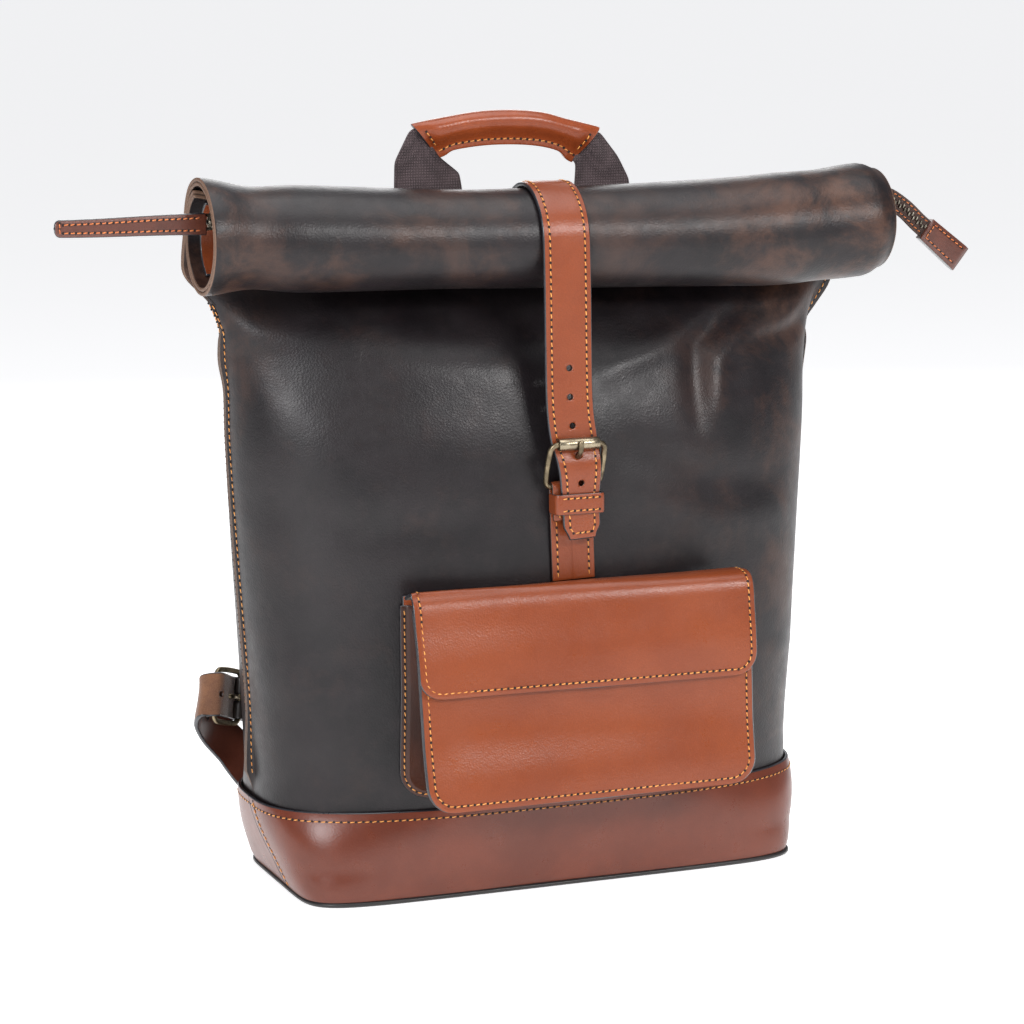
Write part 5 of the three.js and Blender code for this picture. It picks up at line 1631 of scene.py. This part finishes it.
def back_patch(name, x_span, z_span, lift, thick, looks, node, slot, corner, mirror=False, stitch=2.8):
    """A flat piece sewn on to the back, with rounded corners and stitches all round."""
    rows_a, rows_b = [], []
    low, high = z_span
    mid, half = (x_span[0] + x_span[1]) / 2, (x_span[1] - x_span[0]) / 2
    levels = spaced(low, high, max(int((high - low) / 3), 4), 0.7)

    def half_at(z, inset=0.0):
        edge = min(z - low, high - z) - inset
        radius = max(corner - inset, 0.3)
        short = max(radius - edge, 0.0)
        return half - inset - (radius - math.sqrt(max(radius**2 - short**2, 0.0)))

    for z in levels:
        x = mid + spaced(-half_at(z), half_at(z), max(int(half / 2.5), 6), 0.7)
        rows_a.append(on_body(1, x, z, lift + thick)[0])
        rows_b.append(on_body(1, x, z, lift)[0])
    slab(Shape(), rows_a, rows_b, looks, 0.3).make(name, "bag", (node,), slot, mirror)
    shape = Shape()
    top = lift + thick + 0.02
    zs = np.linspace(low + stitch, high - stitch, 30)
    for hand in (-1, 1):
        pairs = [on_body(1, mid + hand * half_at(z, stitch), z, top) for z in zs]
        stitches(shape, [[np.array(part) for part in zip(*pairs)]])
    for z in (low + stitch, high - stitch):
        stitches(shape, [on_body(1, mid + np.linspace(-half + corner, half - corner, 60), z, top)])
    shape.make(name + "_stitches", "bag", mirror=mirror)


back_patch("back_yoke_leather", (-92, 92), (316, 364), 0.4, 2.0, (TAN, FLESH, BROWN_EDGE), "back_yoke",
           "tan_leather", 9.0)
for name, span in (("left", (-78, -37)), ("right", (35, 70))):
    back_patch(f"handle_anchor_{name}_webbing", span, (353.5, 363.5), 2.6, 2.2, (WEBBING, WEBBING, WEBBING),
               f"handle_anchor_{name}", "webbing", 0.8, stitch=2.6)

# ---------------------------------------------------------------- zip in the mouth

CHAIN_Y, CHAIN_Z = -52.0, 402.0


def zip_drop(x):
    """The zip follows the roll, but not where the slider and the tail sit."""
    return roll_sag(x) * smooth(x, -192, -150) * smooth(-np.asarray(x), -205, -170)


def tooth(shape, place, along, across, out, size=1.0):
    """One zip tooth: a small arched block."""
    points = []
    for a, narrow in ((-0.62, 0.8), (-0.3, 1.0), (0.3, 1.0), (0.62, 0.8)):
        for u, v in ((-1.3, -0.85), (1.3, -0.85), (1.45, 0.0), (1.1, 0.8), (-1.1, 0.8), (-1.45, 0.0)):
            points.append(place + size * (along * a + across * u * narrow + out * v * narrow))
    points = np.array(points)
    faces = bands(3, 6) + [(5, 4, 3, 2, 1, 0), (18, 19, 20, 21, 22, 23)]
    shape.add(points, closed_way(points, faces), ZIP_METAL)


shape = Shape()
for k, x in enumerate(np.arange(-203.8, 204, 2.0)):
    shift = 0.85 if k % 2 else -0.85
    place = np.array([x, CHAIN_Y, CHAIN_Z + shift + float(zip_drop(x))])
    tooth(shape, place, np.array([1.0, 0, 0]), np.array([0, 0, 1.0]), TO_FRONT)
shape.make("zip_teeth_row", "bag", ("zip_teeth",), "zip_metal")

for side, name in ((-1, "front"), (1, "rear")):
    x = spaced(-202.8, 202.8, 90, 0.8)
    rows_a, rows_b = [], []
    for z in spaced(404.8, 415.6, 8, 0.5):
        y = CHAIN_Y + side * 0.6 + 0.12 * np.sin(x / 9 + z)
        rows_a.append(xyz(x, y - 0.38, z + zip_drop(x)))
        rows_b.append(xyz(x, y + 0.38, z + zip_drop(x)))
    slab(Shape(), rows_a, rows_b, (TAPE, TAPE, TAPE), 0.2).make(
        f"zip_tape_{name}_cloth", "bag", (f"zip_tape_{name}",), "zip_tape")


def squarish(value, power):
    """Makes a sine or cosine draw a rounded rectangle instead of a circle."""
    return math.copysign(abs(value) ** power, value)


# The slider: a domed shell round the teeth with a bridge, in smooth cast metal.
shape = Shape()
SLIDER_X = -198.0
for side in (-1, 1):
    rings = []
    for x in (-6.0, -5.6, -4.4, -2, 1, 3.5, 5.3, 5.9):
        end = 1 - 0.35 * float(smooth(abs(x), 4, 6))
        ring = []
        for k in range(20):
            turn = k / 20 * math.tau
            ring.append((SLIDER_X + x, CHAIN_Y + side * (2.5 + 0.75 * end * squarish(math.cos(turn), 0.6)),
                         CHAIN_Z + 5.3 * end * squarish(math.sin(turn), 0.6)))
        rings.append(ring)
    lofted(shape, rings, ZIP_METAL)
neck = []
for z in np.linspace(-4.9, -3.4, 4):
    turn = circle(16)
    neck.append(xyz(SLIDER_X + 1.0 + 4.0 * np.cos(turn), CHAIN_Y + 2.6 * np.sin(turn), CHAIN_Z + z))
lofted(shape, neck, ZIP_METAL)
BRIDGE_X = -202.2
bridge = curve([(BRIDGE_X - 3.9, CHAIN_Y - 2.6, CHAIN_Z), (BRIDGE_X - 3.7, CHAIN_Y - 5.2, CHAIN_Z),
                (BRIDGE_X - 2.2, CHAIN_Y - 6.3, CHAIN_Z), (BRIDGE_X + 2.2, CHAIN_Y - 6.3, CHAIN_Z),
                (BRIDGE_X + 3.7, CHAIN_Y - 5.2, CHAIN_Z), (BRIDGE_X + 3.9, CHAIN_Y - 2.6, CHAIN_Z)], 40)
rod(shape, bridge, 0.75, (0, 0, 1), ZIP_METAL, 12, flatten=1.9, turn_in=False)
shape.make("zip_slider_body", "zip_slider", ("zip_slider",), "zip_metal")

# The pull plate: a rounded plate with a window.
outline_points, window_points = [], []
for k in range(72):
    turn = k / 72 * math.tau
    c, s = math.cos(turn), math.sin(turn)
    outline_points.append((-9.6 + 10.3 * squarish(c, 0.35), 4.8 * squarish(s, 0.45)))
    window_points.append((-3.6 + 2.6 * squarish(c, 0.5), 3.0 * squarish(s, 0.5)))
rings = []
for grow, depth in ((0, 3.7), (0.25, 4.0), (0.25, 4.6), (0, 4.9)):
    rings.append([(BRIDGE_X + x * (1 + grow * 0.01), CHAIN_Y - depth, CHAIN_Z + z * (1 + grow * 0.05))
                  for x, z in outline_points])
for grow, depth in ((0.1, 4.9), (0, 4.6), (0, 4.0), (0.1, 3.7)):
    rings.append([(BRIDGE_X + x, CHAIN_Y - depth, CHAIN_Z + z * (1 + grow)) for x, z in window_points])
lofted(Shape(), rings, ZIP_METAL, closed=True).make("zip_pull_plate", "zip_pull", ("zip_pull",), "zip_metal")

# The long leather tab: two layers of leather round the plate's end, stitched along both edges.
TAB_FROM, TAB_TO, TAB_LOW, TAB_HIGH, TAB_FRONT, TAB_THICK = -208.0, -294.0, 395.2, 406.6, -60.9, 3.5
tab_x = np.concatenate([[TAB_FROM, TAB_FROM - 0.4, TAB_FROM - 1], np.linspace(TAB_FROM - 3, TAB_TO + 4, 50),
                        [TAB_TO + 2.6, TAB_TO + 1.4, TAB_TO + 0.6, TAB_TO + 0.15]])


def tab_edges(x):
    """The tab's lower and upper edge at an x, and how far it waves up."""
    share = (TAB_FROM - x) / (TAB_FROM - TAB_TO)
    high = TAB_HIGH - 0.6 * share
    low = TAB_LOW + 2.0 * share
    end = max(3.0 - (x - TAB_TO), 0.0)
    cut = 3.0 - math.sqrt(max(9.0 - end**2, 0.0))
    return low + cut, high - cut, 0.3 * math.sin(share * 5 + 0.6)


rows_a, rows_b = [], []
for x in tab_x:
    low, high, wave = tab_edges(x)
    z = spaced(low, high, 7, 0.4)
    crown = 0.35 * (smooth(z, high - 1.4, high) + smooth(-z, -low - 1.4, -low))
    rows_a.append(xyz(x, TAB_FRONT + crown + 0.1, z + wave))
    rows_b.append(xyz(x, TAB_FRONT + TAB_THICK - 0.1 - crown, z + wave))
slab(Shape(), rows_a, rows_b, (TAB, TAB, BLACK_EDGE), 0.2).make(
    "pull_tab_leather", "zip_pull", ("pull_tab",), "tan_leather")
shape = Shape()
for front, y in ((-1, TAB_FRONT + 0.08), (1, TAB_FRONT + TAB_THICK - 0.08)):
    for edge in (0, 1):
        line = []
        for x in np.linspace(TAB_FROM - 3, TAB_TO + 4.5, 60):
            low, high, wave = tab_edges(x)
            line.append((x, y, (high - 2.2 if edge else low + 2.2) + wave))
        stitches(shape, [(line, (0, front, 0))], 3.6, THREAD_RED)
    low, high, _ = tab_edges(TAB_TO + 2.4)
    line = xyz(TAB_TO + 2.6, y, np.linspace(low + 1.4, high - 1.4, 10))
    stitches(shape, [(line, (0, front, 0))], 3.2, THREAD_RED)
shape.make("pull_tab_stitches", "zip_pull")

# ---------------------------------------------------------------- tail of the zip

tail_points = [(215.5, -54, 402), (223.5, -54, 401), (234.5, -54, 394), (244.5, -54, 385), (255.5, -54, 376),
               (266.5, -54, 367)]
tail_path = curve(tail_points, 120)
tail = Ribbon(tail_path, np.cross(unit(np.gradient(tail_path, axis=0)), [0, 1.0, 0]), 11, 2.2)
tail.face(60, TO_FRONT)
strapping(tail, (TAPE, TAPE, TAPE), spaced(-1, 1, 9, 0.08), np.linspace(0, 0.97, 60)).make(
    "tail_tape_cloth", "zip_tail", ("tail_tape",), "zip_tape")
shape = Shape()
for k, v in enumerate(np.arange(0.015, 0.66, 2.0 / tail.length)):
    shift = 0.14 if k % 2 else -0.14
    middle = tail.at(shift, v, 1.9)
    way = unit(tail.at(0, v + 0.01, 0) - tail.at(0, v - 0.01, 0))
    tooth(shape, middle, way, unit(tail._of(tail.across, v)), tail.normal(v), 0.95)
shape.make("tail_teeth_row", "zip_tail", ("tail_teeth",), "zip_metal")
shape = Shape()
for u in (-0.72, 0.72):
    v = np.linspace(0.01, 0.62, 60)
    stitches(shape, [(tail.at(u, v, 1.05), tail.normal(v))], 3.4, THREAD_RED, 0.85)
shape.make("tail_tape_stitches", "zip_tail")

# The cap's section as shares of its half width and depth, clockwise from its lower left.
CAP_RIGHT = ((1, 0.75), (1, 0.3), (1, -0.3), (1, -0.75), (0.93, -0.95), (0.5, -1.0), (0, -1.03),
             (-0.5, -1.0), (-0.93, -0.95))
CAP_SECTION = (*((-s, -t) for s, t in CAP_RIGHT), *CAP_RIGHT)
cap_from = tail_path[int(0.64 * 119)]
cap_way = unit(tail_path[-1] - tail_path[-12])
cap_line = mix(cap_from, tail_path[-1] + cap_way * 8.6, np.linspace(0, 1, 50)[:, None])
cap = Ribbon(cap_line, np.cross(cap_way, [0, 1.0, 0]), np.linspace(14.6, 16.8, 50), 7.2)
cap.face(20, TO_FRONT)
rings = []
for k in range(50):
    share = k / 49
    half = cap.width[k] / 2
    deep = 3.55 * (1 - 0.1 * float(smooth(share, 0.0, 0.1)))
    deep *= math.sqrt(max(1 - float(smooth(share, 0.86, 1.0)) ** 2 * 0.75, 0.05))
    ring = []
    for s, t in CAP_SECTION:
        ring.append(cap.path[k] + cap.across[k] * s * half + cap.up[k] * t * deep)
    rings.append(ring)
shape = Shape()
lofted(shape, rings, TAB, caps=True)
ring_count = len(rings[0])
for face_index, face in enumerate(shape.faces):
    along_ring = face_index % ring_count
    if face_index < 49 * ring_count and along_ring in (0, 1, 2, 9, 10, 11):
        shape.ids[face_index] = shape.look(BLACK_EDGE)
shape.make("tail_cap_leather", "zip_tail", ("tail_cap",), "tan_leather")
shape = Shape()
for out in (1, -1):
    for u in (-0.66, 0.66):
        v = np.linspace(0.06, 0.86, 30)
        stitches(shape, [(cap.at(u, v, out * 3.55), out * cap.normal(v))], 3.4, THREAD_RED, 0.9)
    u = np.linspace(-0.6, 0.6, 12)
    stitches(shape, [(cap.at(u, 0.08, out * 3.5), out * cap.normal(0.08))], 3.2, THREAD_RED, 0.9)
shape.make("tail_cap_stitches", "zip_tail")

# ---------------------------------------------------------------- shoulder straps

SIDE_OUTER = np.array([-177.8, 52.3, 105.9])
SIDE_ALONG = unit([-0.8, -0.54, 0.27])
SIDE_LENGTH = 24.0
SIDE_HEEL = SIDE_OUTER - SIDE_ALONG * SIDE_LENGTH
side_width = unit([-0.163, -0.235, -0.958])
side_at = Place(SIDE_HEEL, SIDE_ALONG, unit(np.cross(side_width, SIDE_ALONG)))
side_across = side_at.x if side_at.x[2] > 0 else -side_at.x


def side_spot(y, z):
    return tuple(side_at([0.0, y, z]))


pad_path = curve([(-50, 25, 337), (-50, 34, 347), (-52, 49, 349), (-56, 67, 336), (-64, 85, 303),
                  (-74, 96, 258), (-81, 101, 210), (-85, 103, 165), (-90, 103, 130), (-101, 100, 105),
                  (-116, 93, 92), side_spot(-34, 0), side_spot(-20, 0), side_spot(-8, 0)], 400)
pad_share = np.linspace(0, 1, 400)
pad_turn = smooth(pad_share, 0.6, 0.9)[:, None]
pad_side = unit(mix(np.array([1.0, 0, 0]), -side_across, pad_turn))
pad_width = mix(30, 52, smooth(pad_share, 0.04, 0.25)) - 27 * smooth(pad_share, 0.62, 0.9)
pad_thick = mix(3.4, 9, smooth(pad_share, 0.03, 0.16)) - 5.8 * smooth(pad_share, 0.7, 0.88)
pad = Ribbon(pad_path, pad_side, pad_width, pad_thick)
pad_sign = 1.0 if pad.up[200][1] > 0 else -1.0
BORDER = 5.2


def pad_surface(u, v, hand):
    """Half the padded strap's thickness: thin at the sewn border and full in the middle."""
    half = pad._of(pad.width, v) / 2
    full = pad._of(pad.thick, v) / 2
    from_edge = (1 - np.abs(u)) * half
    padded = smooth(from_edge, BORDER - 0.8, BORDER + 7)
    padded = padded * (0.92 + 0.08 * np.cos(u * math.pi / 2))
    groove = 0.45 * bell(from_edge, BORDER, 1.0) * smooth(full, 2.0, 3.5)
    rest = np.minimum(full, 1.7)
    crease = 0.22 * wander(u * half, v * 700, 9 if hand > 0 else 13, 61) * padded
    round_edge = 0.4 * smooth(-from_edge, -1.2, 0)
    return mix(rest, full, padded) - groove - round_edge + crease - 0.15


v_rows = np.concatenate([[0, 0.0015, 0.004], np.linspace(0.008, 0.992, 190), [0.996, 0.9985, 1]])
u_cols = np.concatenate([[-1, -0.985, -0.95], np.linspace(-0.91, 0.91, 33), [0.95, 0.985, 1]])
grid_v, grid_u = np.meshgrid(v_rows, u_cols, indexing="ij")
pad_outer = pad.at(grid_u, grid_v, pad_sign * pad_surface(grid_u, grid_v, 1))
pad_inner = pad.at(grid_u, grid_v, -pad_sign * pad_surface(grid_u, grid_v, -1))

billet_path = curve([(-151, 62, 51), (-163, 67, 68), (-177, 65, 84), (-185.5, 58, 97), (-186.8, 48.6, 106.2),
                     side_spot(SIDE_LENGTH + 5, -6.2), side_spot(SIDE_LENGTH - 2, -5),
                     side_spot(SIDE_LENGTH * 0.5, 0), side_spot(0, 5.6), side_spot(-14, 6.8),
                     side_spot(-28, 7), side_spot(-40, 7.4)], 260)
billet_share = np.linspace(0, 1, 260)
billet_side = unit(mix(np.array([0.3, 0.4, 0.87]), side_across, smooth(billet_share, 0.4, 0.6)[:, None]))
billet = Ribbon(billet_path, billet_side, 25 * mix(1, 0.6, smooth(billet_share, 0.95, 1)), 3.2)
# The suede side faces away from the bag before the loop.
billet_out = 1.0 if billet.up[60] @ np.array([-0.6, 0.8, 0.0]) > 0 else -1.0
half_turn = int(np.argmin(np.linalg.norm(billet_path - side_at([0, SIDE_LENGTH * 0.5, 0.0]), axis=1)))


BILLET_ROWS, BILLET_COLUMNS = 169, 14


def billet_places():
    """Shares along the billet of its row of holes."""
    middle = half_turn / 259
    step = 17.0 / billet.length
    return [middle + k * step for k in (-3, -2, -1, 0, 1)]


for mirror, name in ((False, "left"), (True, "right")):
    body = f"{name}_strap"
    padded_strap = slab(Shape(), pad_outer, pad_inner, STRAP_SHEET, 0.18).make(
        f"{name}_padded_strap", body, (f"{name}_shoulder_strap",), "strap_leather", mirror)

    shape = Shape()
    for sign in (1, -1):
        for hand in (-1, 1):
            v = np.linspace(0.012, 0.985, 900)
            half = pad._of(pad.width, v) / 2
            inset = np.where(pad._of(pad.thick, v) > 5, BORDER, 3.4)
            inset = np.convolve(np.pad(inset, 40, "edge"), np.ones(81) / 81, "valid")
            u = hand * (1 - inset / half)
            out = pad_sign * sign * (pad_surface(u, v, sign) + 0.05)
            stitches(shape, [(pad.at(u, v, out), pad_sign * sign * pad.normal(v))], 4.6)
    shape.make(f"{name}_padded_strap_stitches", body, mirror=mirror)

    strip = strapping(billet, (SUEDE, SUEDE, BLACK_EDGE), spaced(-1, 1, 9, 0.06),
                      np.linspace(0, 1, BILLET_ROWS + 1)).make(
        f"{name}_billet_leather", body, (f"{name}_shoulder_billet",), "billet_leather", mirror)
    # The side towards the bag is smooth dark grain.
    strip.data.materials.append(TAB)
    grain = len(strip.data.materials) - 1
    # Its outer face has its polygons first, then its inner face.
    start = BILLET_ROWS * BILLET_COLUMNS if billet_out > 0 else 0
    for polygon in strip.data.polygons[start : start + BILLET_ROWS * BILLET_COLUMNS]:
        polygon.material_index = grain
    flip = np.array([-1.0, 1, 1]) if mirror else np.ones(3)
    for share in billet_places():
        bored(strip, [billet.at(0, share) * flip], BELT_HOLE_RADIUS, billet.normal(share) * flip, 4.0)

    buckle_frame(f"{name}_buckle_wire", side_at, SHOULDER_WIDTH, SIDE_LENGTH, body,
                 f"{name}_buckle_frame", 0.6, mirror)
    buckle_roller(f"{name}_buckle_sleeve", side_at, SHOULDER_WIDTH, SIDE_LENGTH, f"{name}_roller",
                  f"{name}_buckle_roller", mirror)
    buckle_prong(f"{name}_buckle_tongue", side_at, SIDE_LENGTH, f"{name}_prong", f"{name}_buckle_prong",
                 mirror)
    chape(f"{name}_chape_leather", side_at, SHOULDER_WIDTH, 32, 32, body, f"{name}_shoulder_chape",
          "strap_leather", STRAP_SHEET, mirror)
    shape = Shape()
    for side in (1, -1):
        for hand in (-1, 1):
            spots = side_at([(hand * 9.6, y, side * 3.65) for y in np.linspace(-30, -8, 30)])
            stitches(shape, [(spots, side * side_at.z)], 3.9)
        spots = side_at([(x, -29.6, side * 3.65) for x in np.linspace(-8, 8, 14)])
        stitches(shape, [(spots, side * side_at.z)], 3.7)
    shape.make(f"{name}_chape_stitches", body, mirror=mirror)
    keeper_loop(f"{name}_keeper_loop", side_at, 13.6, (-27, -17), (-4.0, 9.0), 1.6, body,
                f"{name}_strap_keeper", "strap_leather", STRAP_SHEET, mirror=mirror)
    back_patch(f"{name}_strap_anchor_patch", (-66, -34), (320, 352), 2.7, 2.3, (TAN, FLESH, BROWN_EDGE),
               f"{name}_strap_anchor", "tan_leather", 4.0, mirror)

    # The billet's lower end is sewn to the base under a small patch.
    rows_a, rows_b, ring = [], [], []
    for z in spaced(30, 50, 8, 0.6):
        line = body_row(1, z)
        order = np.argsort(line[:, 0])
        x = spaced(-160, -138, 8, 0.6)
        y = np.interp(x, line[order, 0], line[order, 1])
        rows_a.append(xyz(x, y + 3.6, z))
        rows_b.append(xyz(x, y + 1.6, z))
    slab(Shape(), rows_a, rows_b, TAN_SHEET, 0.3).make(
        f"{name}_billet_patch", "bag", (f"{name}_billet_anchor",), "base_leather", mirror)
    grid = np.array(rows_a)
    edge = [grid[2:-2, 3], grid[2:-2, -4], grid[3, 2:-2], grid[-4, 2:-2]]
    shape = Shape()
    way = unit(np.cross(grid[5, 6] - grid[5, 5], grid[6, 5] - grid[5, 5]))
    way = way if way[1] > 0 else -way
    for line in edge:
        stitches(shape, [(line + way * 0.05, way)], 3.6)
    shape.make(f"{name}_billet_patch_stitches", "bag", mirror=mirror)

# ---------------------------------------------------------------- stage, light and camera

bpy.ops.mesh.primitive_plane_add(size=400, location=(0, 0, 0))
floor = bpy.context.object
floor.name = "floor"
bpy.ops.object.select_all(action="DESELECT")
look = Look("pale_floor")
cloud = look.noise(3, 3, 0.5)
floor.data.materials.append(look.done(look.blend(cloud, (0.87, 0.87, 0.87), (0.9, 0.9, 0.895)), 0.8,
                                      look.bump(look.noise(300, 2, 0.5), 0.0001, 0.3)))
look.shader.inputs["Emission Color"].default_value = (1, 1, 1, 1)
look.shader.inputs["Emission Strength"].default_value = 0.66


def area_light(name, place, target, size, power, colour=(1, 1, 1), size_y=None):
    data = bpy.data.lights.new(name, "AREA")
    data.energy = power
    data.color = colour
    data.shape = "RECTANGLE"
    data.size = size
    data.size_y = size_y or size
    made = bpy.data.objects.new(name, data)
    bpy.context.scene.collection.objects.link(made)
    made.location = place
    way = np.array(target) - np.array(place)
    made.rotation_mode = "QUATERNION"
    made.rotation_quaternion = Vector(way).to_track_quat("-Z", "Y")
    return made


area_light("key", (-1.6, -1.35, 1.05), (0, 0, 0.22), 0.8, 27, (0.98, 0.98, 1.0))
area_light("top", (0.1, -0.35, 1.9), (0, -0.02, 0.2), 1.5, 22)
area_light("front", (0.75, -1.75, 1.15), (0, 0, 0.35), 0.75, 18, (1.0, 0.99, 0.985), 0.3)
area_light("back", (0.6, 1.8, 1.2), (0, 0, 0.3), 1.0, 10)

world = bpy.data.worlds.new("studio")
bpy.context.scene.world = world
world.use_nodes = True
background = world.node_tree.nodes["Background"].inputs
background["Color"].default_value = (0.92, 0.935, 1.0, 1)
background["Strength"].default_value = 0.26

camera_data = bpy.data.cameras.new("camera")
camera_data.lens = 115.04
camera_data.sensor_width = 36
camera_data.clip_end = 500
camera = bpy.data.objects.new("camera", camera_data)
bpy.context.scene.collection.objects.link(camera)
camera.matrix_world = Matrix((
    (0.93283, 0.06764, -0.35390, -0.70726),
    (-0.36018, 0.14878, -0.92094, -1.83301),
    (-0.00964, 0.98655, 0.16315, 0.53939),
    (0, 0, 0, 1),
))
bpy.context.scene.camera = camera
bpy.context.scene.view_settings.view_transform = "Standard"
